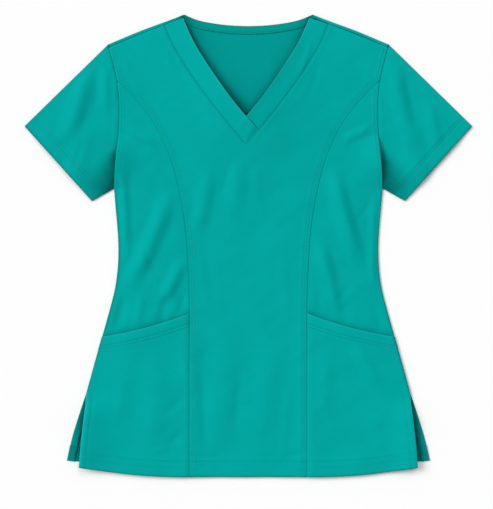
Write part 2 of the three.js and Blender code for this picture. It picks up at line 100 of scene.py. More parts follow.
TUCK_FROM = 186.0  # the sleeve runs in under the front between these two
TUCK_TO = 236.0
TUCK_WIDTH = 7.0
DIP_FROM = 160.0  # the sleeve lies down beside the front from here
DIP_FULL = 200.0
DIP_REACH = 26.0
VENT_TOP = 541.0
SHOULDER_RUN = 52.0  # along the front, from the shoulder seam to its first section
SLEEVE_WIDTH = 175.0  # along the armhole, from fold to fold
LAP_FALL = 0.45  # how far a seam's lower edge falls where it runs on beneath its neighbour
SEAM_RAISED = 8.5  # how wide the allowances raise the cloth beside a princess seam
ARMHOLE_RAISED = 5.0
BAND_RAISED = 4.0
SLEEVE_RIDGE = 0.5  # the low ridge beside a sleeve's armhole seam
SLEEVE_RIDGE_AT = 5.5
SLEEVE_RIDGE_HALF = 2.2
VENT_SHADE = 0.12  # how much painted shade darkens the inside all over a vent, and how much more close to the front's edge
VENT_EDGE_SHADE = 0.8
VENT_SHADE_REACH = 7
NECK_SHADE = 0.6  # how much painted shade darkens it beside the neck bands, and how much more at the top and near the V
NECK_TOP_SHADE = 0.3
NECK_LOW_SHADE = 0.35
NECK_SHADE_REACH = (9, 5)  # beside the left and the right band
UNDERARM_WEDGE = (4, 30)  # the width of the painted shade in the gap down the underarm, at its top and at its lower end
CENTRE_LINES = 26  # lines between the edges of half the front's middle
SIDE_PANEL_LINES = 24
BAND_LINES = 7
SLEEVE_LINES = 24
BACK_ROWS = (3, 8, 10, 10, 10, 10, 22, 24, 26)  # between the back's sections, down to the last one
BACK_LAST_ROWS = 22  # from there to the hem
TOP_ROWS = ((1, 1.2, 0.7), (0, 3.6, 1.3))  # a side panel's rows under the front: how far up and how deep

SHOULDER_EDGE = np.array([(92, 0), (106, 5.7), (152.5, 22.8), (193, 39.6), (200.5, 43.2)])
BACK_NECK = np.array([(0, 16.8), (30, 15.3), (60, 11), (76, 6.8), (92, 0)])
ARMHOLE = np.array([
    (43.2, 200.5), (58, 196.3), (83, 189.7), (110, 185.4), (137, 184.3), (169, 185.3), (194, 187.5),
    (225, 190.3), (248.5, 191.8),
])
SIDE_SEAM = np.array([
    (248.5, 191.8), (279, 189.2), (308, 186.7), (336, 185.5), (365, 186.8), (394, 191), (436, 202),
    (493, 218.3), (541, 231.5),
])
FRONT_VENT = np.array([(541, 231.5), (565, 233.2), (607, 238), (645.5, 241)])
BACK_VENT = np.array([(541, 231.8), (579, 244.3), (607, 252.6), (636.8, 259)])
PRINCESS_SEAM = np.array([
    (97, 184.6), (114, 167), (139, 145.5), (161.5, 130.8), (186, 118.8), (215, 107.5), (262, 96.3),
    (310, 89), (365, 85.4), (415, 83.6), (480, 83.5), (660, 83.5),
])
NECK_EDGE = np.array([(0, 92), (35, 77), (59, 63.5), (100, 36.5), (122, 20.5), (147, 0), (166.6, -17.2)])
BAND_SEAM = np.array([
    (13.2, 117.5), (42, 105.2), (66, 91.2), (83, 80.5), (107, 63.8), (132.6, 44.8), (165, 18.6), (187, 0),
])
BAND_RAKE = np.array([(14.8, 5), (48, 35), (83, 66), (120, 101), (154, 135), (187, 166.6)])
CUFF_TIP = np.array([319.6, 159.4])
CUFF_CORNER = np.array([223.5, 266.3])

# Sections of the front: (down in the middle or on the band, on the princess seam, on the outer edge, bow)
SECTIONS = np.array([
    (66, 97, 102, 0), (101, 118, 134, 0), (140, 146, 170, 0), (187, 183, 210, 0), (222, 219, 248.5, 0),
    (262, 262, 290, 0), (315, 315, 339, 0), (370, 370, 395, 1), (426.5, 426.5, 460, 3.6),
    (482, 482, 505, 3.2), (530, 530, 541, 3), (590, 590, 586, 3.6), (638, 638, 625, 4),
    (660, 660, 645.5, 4.2),
])
MIDDLE, SEAM, OUTER, BOW = range(4)
V_SECTION = 3.0
POCKET_SECTION = 8
LAST_SECTION = len(SECTIONS) - 1.0

# Sections of the back: (down in the middle, down at the edge, share kept of the neck and shoulder line)
BACK_SECTIONS = np.array([
    (35, 61, 0.83), (50, 75, 0.7), (85, 106, 0.42), (125, 140, 0.2), (165, 175, 0.07), (205, 211, 0),
    (246, 248.5, 0), (336, 336, 0), (436, 436, 0), (541, 541, 0), (652, 636.8, 0),
])

# Soft folds of the front: (x and down at one end, x and down at the other, half width, height, sideways bow)
FOLDS = [
    (-108, 237, -180, 405, 19, 4.2, 6),
    (-93, 345, -127, 418, 14, 3, 2),
    (-181, 205, -175, 362, 12, 3, 0),
    (-184, 163, -124, 189, 12, 2.2, 2),
    (118, 208, 162, 366, 18, 5, -4),
    (97, 312, 138, 436, 16, 4.2, -3),
    (181, 250, 181, 400, 11, 3, 0),
    (181, 162, 131, 184, 11, 1.9, -2),
    (-56, 214, -78, 326, 17, 2.3, 3),
    (-13, 200, -24, 300, 20, 1.7, 0),
    (36, 462, 10, 612, 28, 1.7, 0),
    (-33, 440, -44, 630, 28, 1.4, 0),
    (-79, 400, -79, 690, 20, 1.2, 0),
    (79, 380, 79, 690, 20, 1.0, 0),
    (-129, 466, -141, 640, 26, 1.7, 0),
    (111, 466, 105, 590, 19, 1.6, 0),
    (147, 468, 190, 532, 13, 2, 0),
    (-229, 62, -268, 194, 19, 4, 6),
    (-207, 62, -200, 152, 11, 2.2, 0),
    (-232, 150, -256, 250, 24, 2.2, 3),
    (205, 60, 236, 190, 18, 3.8, -4),
    (255, 116, 272, 200, 15, 2.4, 0),
    (228, 150, 250, 256, 26, 2.6, -4),
]

# Finer creases, which only the cloth itself shows, in the same columns. A negative height is a trough.
CREASES = [
    (-184, 150, -150, 172, 5, 0.7, 1),
    (-180, 178, -150, 205, 5, -0.6, 0),
    (184, 152, 156, 170, 5, 0.6, -1),
    (178, 262, 150, 300, 7, -0.8, 2),
    (-176, 300, -128, 372, 7, -1.1, 3),
    (-116, 396, -128, 446, 10, -2.4, 2),
    (-176, 398, -190, 456, 11, -2.2, 0),
    (-150, 394, -160, 450, 9, 1.4, 0),
    (-91, 392, -99, 434, 7, -1.8, 0),
    (-196, 428, -206, 462, 6, -1.1, 0),
    (118, 368, 146, 444, 11, -2.1, -2),
    (98, 392, 104, 430, 7, -0.9, 0),
    (176, 410, 192, 456, 9, -1.0, 0),
    (-168, 96, -150, 128, 5, 0.5, 2),
    (-176, 60, -168, 90, 4, 0.45, 0),
    (-192, 52, -198, 88, 4, 0.5, 0),
    (-188, 96, -196, 142, 5, 0.55, 0),
    (176, 62, 168, 96, 4, 0.4, 0),
    (190, 70, 196, 120, 5, 0.5, 0),
    (-164, 330, -112, 410, 6, 0.8, -2),
    (150, 380, 118, 420, 6, -0.9, 0),
    (170, 330, 186, 400, 6, 0.7, 0),
    (-24, 205, -40, 262, 9, -0.9, 2),
    (8, 210, 22, 286, 10, 0.6, -2),
    (-64, 330, -50, 420, 12, -0.8, 3),
    (48, 340, 62, 440, 12, 0.7, -3),
    (-10, 500, -20, 600, 12, -0.9, 0),
    (60, 520, 48, 640, 10, 0.6, 0),
    (-94, 546, -116, 572, 7, -1.5, 0),
    (-93, 592, -118, 622, 7, -1.3, 0),
    (-104, 612, -136, 626, 6, 0.9, 0),
    (-96, 628, -40, 634, 4, -0.6, 0),
    (96, 560, 116, 590, 7, -1.0, 0),
    (94, 622, 50, 632, 4, -0.5, 0),
    (-72, 470, -60, 640, 11, -1.0, 2),
    (-98, 474, -86, 520, 6, 0.6, 0),
    (-176, 500, -190, 600, 14, 0.9, 2),
    (176, 560, 196, 640, 13, 0.8, -2),
    (98, 610, 128, 640, 8, -0.6, 0),
    (90, 35, 70, 92, 6, 0.9, 2),
    (104, 60, 84, 130, 8, -0.6, 0),
    (-120, 45, -96, 110, 9, 0.6, -2),
    (-214, 70, -222, 150, 6, -0.9, 2),
    (-250, 100, -276, 176, 7, 0.7, 2),
    (-232, 170, -252, 232, 6, -0.8, 0),
    (222, 76, 240, 150, 6, -0.8, -2),
    (214, 130, 232, 208, 6, 0.7, 0),
    (268, 128, 290, 182, 7, 0.5, 0),
]
BACK_CREASES = [
    (-40, 60, -12, 150, 14, 0.9, 3),
    (30, 50, 44, 130, 12, 0.7, -2),
    (-70, 300, -40, 420, 16, 0.45, 4),
    (60, 240, 90, 380, 16, 0.45, -4),
    (-150, 400, -120, 560, 18, 0.4, 5),
    (130, 430, 160, 600, 18, 0.4, 0),
    (-120, 120, -160, 200, 14, 0.4, 0),
    (110, 130, 150, 220, 14, 0.4, 0),
]

# Rows of stitches, each by its distance from the seam or the edge that it follows
TOPSTITCH = (4.0, 7.5)
ARMHOLE_STITCH = (4.2,)
BAND_STITCH = (1.7,)
VENT_STITCH = (9.0,)
HEM_STITCH = (16.5, 22.0)
CUFF_STITCH = (17.0, 21.5)
POCKET_STITCH = (13.5, 18.0)
FACING_STITCH = 1.8
GROOVE = 0.75

# How much cloth is turned under
HEM_DEPTH = 24.0
CUFF_DEPTH = 23.0
POCKET_HEM_DEPTH = 20.0
VENT_DEPTH = 11.0
ALLOWANCE = 4.0
BAND_TURN = 19.0

# Where the lines of a turned edge lie: on the turned cloth, round its fold, and inwards on the face
FOLD_ANGLES = np.radians([180, 150, 115, 80, 45, 0])
UNDER_SHARES = np.array([1, 0.7, 0.4, 0.15])
SEWN_LINES = np.array([0.3, 0.9, 1.7, 2.6, 3.4, 4.0, 4.6, 5.7, 6.8, 7.5, 8.2, 9.6, 12])
PLAIN_LINES = np.array([0.4, 1.2, 2.4, 4.2, 7.0])
HEM_LINES = np.array([0.4, 1.2, 2.6, 5, 8, 11.5, 14.5, 15.8, 16.5, 17.2, 19, 21.2, 22, 22.8, 24.2, 26])
MOUTH_LINES = np.array([0.4, 1.2, 2.6, 5, 9, 12.3, 13.5, 14.7, 16.8, 18, 19.2, 21.5])
TURN_LINES = np.array([0.6, 1.6, 3.2, 6, 10])
SIDE_LINES = np.array([0.4, 1.2, 2.6, 5, 8.2, 9, 9.8])
ROW_SPACING = 3.2
LINE_STEP = 4.0
UNDER_FRONT = 1.2

# Wear and painted light at the cloth's edges: above 0 rubbed lighter with a painted highlight, below 0
# painted shade
# painted shade: a dark rim round folded edges and along the outline
OUTLINE_SHADE = -1.2
# painted shade in the grooves of seams, and along the pocket mouths
SEAM_SHADE = -0.7
# painted shade along the upper cloth's fold at a seam
OVER_SEAM_SHADE = -0.3
# painted shade in deep places: the vents, under the neck bands and down the underarm
PAINTED_SHADE_DEPTH = -1.5
# rubbed wear with a painted highlight along the pocket mouths
MOUTH_WEAR_AND_HIGHLIGHT = 0.5
# rubbed wear with a painted highlight along the body's edge at the armholes and vents
ARMHOLE_WEAR_AND_HIGHLIGHT = 0.65
# rubbed wear with a painted highlight along the neck bands' free edges
BAND_WEAR_AND_HIGHLIGHT = 0.9
WELD = 1e-6
TINY = 1e-6


def smooth(table, at, start=0, end=1):
    """The `end` column of a table at places on its `start` column, on a smooth curve through its rows."""
    xs = table[:, start]
    ys = table[:, end]
    last = len(xs) - 1
    at = np.asarray(at, float)
    i = np.clip(np.searchsorted(xs, at, side="left") - 1, 0, last - 1)
    before = np.maximum(i - 1, 0)
    after = np.minimum(i + 2, last)
    run = xs[i + 1] - xs[i]
    leaving = (ys[i + 1] - ys[before]) / (xs[i + 1] - xs[before]) * run
    coming = (ys[after] - ys[i]) / (xs[after] - xs[i]) * run
    t = np.clip((at - xs[i]) / run, 0, 1)
    return (
        (2 * t**3 - 3 * t**2 + 1) * ys[i]
        + (t**3 - 2 * t**2 + t) * leaving
        + (3 * t**2 - 2 * t**3) * ys[i + 1]
        + (t**3 - t**2) * coming
    )


def section(table, at, column):
    """A column of a table of sections at places between its rows."""
    keyed = np.column_stack([np.arange(len(table)), table[:, column]])
    return smooth(keyed, at)


def ease(value, start, end):
    """0 before start and 1 after end, with a smooth run between."""
    t = np.clip((np.asarray(value, float) - start) / (end - start), 0, 1)
    return t * t * (3 - 2 * t)


def mix(a, b, t):
    """The value a share t of the way from a to b."""
    return a + (b - a) * t


def armhole_or_side(down, vent):
    """How far out the body's edge is, down the armhole, the side seam and then one side of the vent."""
    return np.where(
        down < UNDERARM_TO,
        smooth(ARMHOLE, down),
        np.where(down < VENT_TOP, smooth(SIDE_SEAM, down), smooth(vent, down)),
    )


def line_of(table, side=1, shift=0.0, start=None, end=None):
    """A seam of (down, out) rows as a line of (x, down) points."""
    start = table[0, 0] if start is None else start
    end = table[-1, 0] if end is None else end
    down = np.linspace(start, end, max(2, int((end - start) / LINE_STEP) + 1))
    return np.column_stack([side * smooth(table, down) + shift, down])


def from_line(line, x, down):
    """How far places lie from a line of points, and how far along the line their nearest points are."""
    nearest = np.full(np.shape(x), np.inf)
    along = np.zeros(np.shape(x))
    run = 0.0
    for (ax, ay), (bx, by) in zip(line[:-1], line[1:]):
        length = math.hypot(bx - ax, by - ay)
        t = np.clip(((x - ax) * (bx - ax) + (down - ay) * (by - ay)) / length**2, 0, 1)
        gap = np.hypot(x - mix(ax, bx, t), down - mix(ay, by, t))
        along = np.where(gap < nearest, run + t * length, along)
        nearest = np.minimum(nearest, gap)
        run += length
    return nearest, along


def side_point(side, point):
    """A place on one side of the garment from its (out, down)."""
    return np.array([side * point[0], point[1]])


TOP_EDGE = np.vstack([SHOULDER_EDGE, CUFF_TIP])
SIDE_EDGE = np.vstack([CUFF_CORNER, SIDE_SEAM[:, ::-1]])


def from_pressed_edge(x, down):
    """How far places lie from the garment's pressed outline, where nothing stands off the table."""
    return np.minimum(from_line(TOP_EDGE, np.abs(x), down)[0], from_line(SIDE_EDGE, np.abs(x), down)[0])


def fold_relief(folds, x, down):
    """The height of soft folds, each a ridge or trough that dies out towards its ends and sides."""
    total = np.zeros(np.shape(x))
    for x0, down0, x1, down1, half, height, bow in folds:
        dx, dy = x1 - x0, down1 - down0
        length = math.hypot(dx, dy)
        along = np.clip(((x - x0) * dx + (down - down0) * dy) / length**2, 0, 1)
        aside = ((x - x0) * dy - (down - down0) * dx) / length
        off = np.minimum(np.abs(aside - bow * 4 * along * (1 - along)) / half, 1)
        taper = ease(np.minimum(along, 1 - along), 0, FOLD_TAPER)
        total += height * taper * np.cos(off * math.pi / 2) ** 2
    return total


def unevenness(x, down):
    """The slight waviness of cloth smoothed out by hand: long ripples that cross at odd angles."""
    waves = (
        (71, 0.35, 0.4, 0.22),
        (47, 1.25, 2.1, 0.13),
        (33, 2.2, 0.9, 0.09),
        (58, 2.75, 4.0, 0.15),
        (24, 0.9, 3.3, 0.05),
    )
    total = np.zeros(np.shape(x))
    for wavelength, direction, phase, height in waves:
        across = x * math.cos(direction) + down * math.sin(direction)
        crest = x * math.sin(direction) - down * math.cos(direction)
        swell = 1 + 0.6 * np.sin(crest / (wavelength * 0.7) + phase)
        total += height * swell * np.sin(2 * math.pi * across / wavelength + phase)
    return total


def ripple(along):
    """Uneven waves along a seam, from -1 to 1, where the stitching draws the cloth up."""
    fine = np.sin(2 * math.pi * along / 7.3 + 1.4 * np.sin(along / 9.1))
    broad = np.sin(2 * math.pi * along / 17.9 + 0.8 * np.sin(along / 23.0) + 1.1)
    strength = 0.65 + 0.35 * np.sin(along / 31.0 + 0.5)
    return (0.62 * fine + 0.38 * broad) * strength


def lying_height(x, down):
    """The height of the front layer's underside where it lies on the back."""
    inside = from_pressed_edge(x, down)
    neck = np.exp(-((x / NECK_STAND_RADIUS) ** 2) - ((down - NECK_STAND_DOWN) / NECK_STAND_RADIUS) ** 2)
    raised = FOLD_GAIN * fold_relief(FOLDS, x, down) + NECK_STAND * neck
    return WALL + LAYER_GAP + LOFT * ease(inside, 0, LOFT_RUN) + raised * ease(inside, 0, FOLD_RUN)


def fine_relief(x, down):
    """The creases and the waviness that only the cloth itself shows."""
    inside = from_pressed_edge(x, down)
    return (fold_relief(CREASES, x, down) + unevenness(x, down)) * ease(inside, 0, FOLD_RUN)


def underarm_lift(down):
    """How far the front's edge stands up over the sleeve."""
    share = np.clip((down - UNDERARM_FROM) / (UNDERARM_TO - UNDERARM_FROM), 0, 1)
    return UNDERARM_LIFT * np.sin(math.pi * share)


def body_face(x, down):
    """The upper face of the front's body, before any seam is sewn in it. Its edges stand up at the underarms
    and along the vents."""
    inside = np.maximum(0, armhole_or_side(down, FRONT_VENT) - np.abs(x))
    lift = underarm_lift(down) * np.exp(-((inside / UNDERARM_REACH) ** 2))
    vent = VENT_LIFT * ease(down, VENT_TOP, VENT_TOP + VENT_RISE) * np.exp(-((inside / VENT_REACH) ** 2))
    return lying_height(x, down) + lift + vent + WALL + fine_relief(x, down)


def sleeve_face(x, down):
    """The upper face of a sleeve, which lies down beside the body's edge at the underarm."""
    low = WALL + LAYER_GAP
    aside = np.maximum(0, np.abs(x) - smooth(ARMHOLE, np.minimum(down, UNDERARM_TO)))
    dip = ease(down, DIP_FROM, DIP_FULL) * np.exp(-((aside / DIP_REACH) ** 2))
    height = low + (lying_height(x, down) - low) * (1 - dip)
    return height + WALL + fine_relief(x, down) * (1 - dip)


def tuck(down):
    """How far the sleeve runs in under the front."""
    share = np.clip((down - TUCK_FROM) / (TUCK_TO - TUCK_FROM), 0, 1)
    return TUCK_WIDTH * np.sin(math.pi * share) ** 2


def shoulder_seam(out):
    """How far down the front begins."""
    return smooth(SHOULDER_EDGE, out) + SHOULDER_DROP + SEAM_GAP


def front_row(at):
    """How far down rows of the front lie in the middle and at the seam, and how far above the first section:
    row -1 is the shoulder seam, 0 the top of the princess seam and the last section the hem."""
    at = np.asarray(at, float)
    raised = np.clip(-at, 0, None)
    below = np.clip(at, 0, LAST_SECTION)

    def level(column, top):
        return np.where(at < 0, mix(SECTIONS[0, column], top, raised), section(SECTIONS, below, column))

    return level(MIDDLE, shoulder_seam(BAND_SEAM[0, 1])), level(SEAM, shoulder_seam(ARMHOLE[0, 1])), raised


def section_at(level, column=MIDDLE):
    """The section whose given column is at a level."""
    return np.interp(level, SECTIONS[:, column], np.arange(len(SECTIONS)))


def side_ends(side, at):
    """The ends of rows across a side panel, at the princess seam and at the outer edge."""
    seam = section(SECTIONS, at, SEAM)
    outer = section(SECTIONS, at, OUTER)
    start = np.column_stack([side * (smooth(PRINCESS_SEAM, seam) + SEAM_GAP / 2), seam])
    end = np.column_stack([side * (armhole_or_side(outer, FRONT_VENT) - SEAM_GAP / 2), outer])
    return start, end


def bowed(at, share):
    """How far rows across a side panel bow down between their ends."""
    return section(SECTIONS, at, BOW)[:, None] * 4 * share * (1 - share)


def side_line(side, at):
    """The places across a side panel at one section, from the princess seam to the outer edge."""
    at = np.array([at])
    share = np.linspace(0, 1, 40)[None, :]
    start, end = side_ends(side, at)
    return mix(start, end, share.T) + np.column_stack([0 * share[0], bowed(at, share)[0]])


def front_hem_line():
    """The front's hem on the right side, from the middle outwards."""
    return np.vstack([[0, LENGTH], side_line(1, LAST_SECTION)])


def stitch_grooves(gap, rows, sizes):
    """How deep rows of stitches pull the cloth in, at a distance from the seam or edge that they follow."""
    return sum(sizes.stitch_sink / MM * np.exp(-(((gap - row) / GROOVE) ** 2)) for row in rows)


def sewn_side(gap, along, rows, sizes, reach):
    """The face beside a topstitched seam: raised over its allowances, sunk under each row of stitches."""
    raised = sizes.seam_raise / MM * (1 - ease(gap, reach, reach + 4))
    drawn = sizes.pucker / MM * ripple(along) * ease(gap, 0, 2.5) * (1 - ease(gap, reach - 2, reach + 6))
    dip = 0.7 * sizes.seam_dip / MM * np.exp(-gap / 0.9)
    return raised - stitch_grooves(gap, rows, sizes) + drawn - dip


def tucked_side(gap, along, sizes):
    """The face on the other side of a seam, where it dips in under its neighbour."""
    drawn = 0.8 * sizes.pucker / MM * ripple(along) * np.exp(-gap / 6)
    return -sizes.seam_dip / MM * np.exp(-gap / 1.3) + drawn


def hem_relief(gap, along, rows, sizes):
    """The face over a turned-up hem: raised by its layers, sunk and drawn up along its rows of stitches."""
    last = max(rows)
    raised = sizes.seam_raise / MM * (1 - ease(gap, last + 1, last + 7))
    near_rows = np.exp(-(((gap - np.mean(rows)) / 7) ** 2))
    return raised - stitch_grooves(gap, rows, sizes) + sizes.pucker / MM * ripple(along) * near_rows


class Edge:
    """One side of a panel as lines of points: how far in each lies, how far below the face, how far in on the
    unfolded cloth, and its wear and painted light. Each is an array of rows by lines, from the outermost
    line inwards."""

    def __init__(self, inward, drop, cloth, wear_and_painted_light):
        self.inward = inward
        self.drop = drop
        self.cloth = cloth
        self.wear_and_painted_light = wear_and_painted_light


def folded_edge(rows, radius, depth, lines, wear_and_painted_light=OUTLINE_SHADE):
    """An edge turned under: the end of the turned cloth first, then its fold, then the lines on the face."""
    radius = np.broadcast_to(np.asarray(radius, float), rows)[:, None]
    depth = np.broadcast_to(np.asarray(depth, float), rows)[:, None]
    angles = FOLD_ANGLES[None, :]
    face = radius + lines[None, :]
    under = radius + depth * UNDER_SHARES[None, :]
    inward = np.hstack([under, radius * (1 - np.sin(angles)), face])
    below = np.broadcast_to(2 * radius, under.shape)
    drop = np.hstack([below, radius * (1 - np.cos(angles)), np.zeros(face.shape)])
    cloth = np.hstack([2 * radius - math.pi * radius - under, radius - radius * angles, face])
    # The turned edge's wear and painted light is strongest round the fold and fades inwards on the face
    round_fold = np.broadcast_to(np.cos(angles / 2), (rows, len(FOLD_ANGLES)))
    fading = np.broadcast_to(np.exp(-lines), face.shape)
    return Edge(inward, drop, cloth, wear_and_painted_light * np.hstack([np.zeros(under.shape), round_fold, fading]))


def lapped_edge(rows, lap, lines, wear_and_painted_light=SEAM_SHADE):
    """An edge that runs on beneath its neighbour, falling as it goes."""
    lap = np.broadcast_to(np.asarray(lap, float), rows)[:, None]
    inward = np.hstack([-lap, -lap / 2, 0 * lap, np.broadcast_to(lines[None, :], (rows, len(lines)))])
    falling = np.tile([LAP_FALL, 0.7 * LAP_FALL, 0.3 * LAP_FALL], (rows, 1))
    drop = np.hstack([falling, np.zeros((rows, len(lines)))])
    # By default a painted shade along the seam, fading inwards
    return Edge(inward, drop, inward.copy(), wear_and_painted_light * np.exp(-np.maximum(inward, 0)))


def seam_strength(down):
    """How strongly a princess seam is pressed in: faint at the armhole, most at the waist."""
    return 0.25 + 0.35 * ease(down, 130, 330) - 0.3 * ease(down, 420, 520)


def closed_edge(rows, count):
    """Lines that all lie on the panel's own end, for a side that has nothing to turn."""
    nothing = np.zeros((rows, count))
    return Edge(nothing, nothing, nothing, nothing)


def joined_edge(first, second, use_second):
    """Edge `first` on some rows and `second` on the others."""
    pick = use_second[:, None]
    columns = [np.where(pick, b, a) for a, b in zip(vars(first).values(), vars(second).values())]
    return Edge(*columns)


def stacked(first, second):
    """The drop where two turned edges meet at a corner: the larger one and a layer of the other."""
    return np.maximum(first, second) + 0.4 * np.minimum(first, second)


class Patch:
    """A grid of cloth: places on the table, the drop below its face, pattern coordinates, and wear with
    painted light. Its painted shade darkens the wrong side alone, and is below 0 as painted shade in a crease
    is. A patch may face down, under another, and may know how far along its row each place lies, as a share
    and on the unfolded cloth."""

    under = False
    shade = 0.0
    share = None
    cloth = None

    def __init__(self, x, down, drop, across, along, wear_and_painted_light):
        self.x = x
        self.down = down
        self.drop = drop
        self.across = across
        self.along = along
        self.wear_and_painted_light = wear_and_painted_light
        self.z = None


def fitted(edge, width):
    """An edge drawn in where its panel is too narrow for it."""
    fit = np.minimum(1, 0.45 * width[:, None] / np.maximum(edge.inward.max(axis=1, keepdims=True), TINY))
    return Edge(edge.inward * fit, edge.drop, edge.cloth * fit, edge.wear_and_painted_light)


def lines_between(first, last, width, lean_first, lean_last, count):
    """The lines across rows of a width: the first edge's own, even ones between, then the last edge's. The
    leans lengthen an edge where it runs at a slant to the rows."""
    shares = (np.arange(1, count) / count)[None, :]
    inner = first.inward[:, -1:] * lean_first
    outer = width[:, None] - last.inward[:, -1:] * lean_last
    middle = mix(inner, outer, shares)
    flat = np.zeros(middle.shape)
    far_side = width[:, None] - (last.inward * lean_last)[:, ::-1]
    reach = np.hstack([first.inward * lean_first, middle, far_side])
    cloth = np.hstack([first.cloth * lean_first, middle, width[:, None] - (last.cloth * lean_last)[:, ::-1]])
    drop = np.hstack([first.drop, flat, last.drop[:, ::-1]])
    wear_and_painted_light = np.hstack([first.wear_and_painted_light, flat, last.wear_and_painted_light[:, ::-1]])
    return reach, cloth, drop, wear_and_painted_light


def spread(start, end, first, last, count):
    """A patch from one boundary to the other, row by row, with each edge's own lines at its side."""
    run = end - start
    width = np.hypot(run[:, 0], run[:, 1])
    direction = run / width[:, None]

    def leaning(line):
        tangent = np.gradient(line, axis=0)
        tangent /= np.maximum(np.hypot(tangent[:, 0], tangent[:, 1]), 1e-9)[:, None]
        across = np.abs(direction[:, 0] * tangent[:, 1] - direction[:, 1] * tangent[:, 0])
        return 1 / np.clip(across, 0.45, 1)[:, None]

    lean_start = leaning(start)
    lean_end = leaning(end)
    first = fitted(first, width / lean_start[:, 0])
    last = fitted(last, width / lean_end[:, 0])
    reach, cloth, drop, wear_and_painted_light = lines_between(first, last, width, lean_start, lean_end, count)
    patch = patch_from(start, direction, reach, cloth, drop, wear_and_painted_light)
    patch.share = reach / width[:, None]
    patch.cloth = cloth
    return patch


def face_rows(start, end):
    """Rows between two sections, about a row's spacing apart."""
    found = [start]
    for lower in np.arange(math.floor(start), math.ceil(end)):
        low = max(start, lower)
        high = min(end, lower + 1)
        if lower < 0:
            length = 55.0 * (high - low)  # the shoulder's own length along the armhole
        else:
            step = SECTIONS[int(lower) + 1] - SECTIONS[int(lower)]
            length = max(step[MIDDLE], step[OUTER]) * (high - low)
        count = max(1, round(length / ROW_SPACING))
        found.extend(low + (high - low) * (i + 1) / count for i in range(count))
    return np.array(found)


def front_hem_rows(start, sizes):
    """Rows of a front panel from a section down to the hem, round its fold and up again underneath: their
    sections, and their drop, their extra length on the pattern, and their wear and painted light."""
    edge = folded_edge(1, sizes.fold_radius / MM, HEM_DEPTH, HEM_LINES)
    at = section_at(LENGTH - edge.inward[0, ::-1])
    upper = face_rows(start, at[0])[:-1]
    turned = (edge.drop, edge.inward - edge.cloth, edge.wear_and_painted_light)
    pad = np.zeros(len(upper))
    return [np.concatenate([upper, at])] + [np.concatenate([pad, values[0, ::-1]]) for values in turned]


def with_rows(patch, drop, extra, wear_and_painted_light):
    """Adds a hem's own drop, extra length, and wear and painted light to every row of a patch."""
    patch.drop = stacked(patch.drop, drop[:, None])
    patch.along = patch.along + extra[:, None]
    across = wear_and_painted_light[:, None] * np.ones(patch.x.shape)
    patch.wear_and_painted_light = np.where(np.abs(across) > np.abs(patch.wear_and_painted_light), across, patch.wear_and_painted_light)
    return patch


def patch_from(start, direction, reach, cloth, drop, wear_and_painted_light):
    """A patch from the starts and directions of its rows, and how far along them its places lie."""
    x = start[:, :1] + direction[:, :1] * reach
    down = start[:, 1:] + direction[:, 1:] * reach
    across = start[:, :1] + direction[:, :1] * cloth
    along = start[:, 1:] + direction[:, 1:] * cloth
    return Patch(x, down, drop, across, along, wear_and_painted_light)


def only_selected(piece):
    """Selects one piece alone and makes it the active one."""
    bpy.ops.object.select_all(action="DESELECT")
    piece.select_set(True)
    bpy.context.view_layer.objects.active = piece


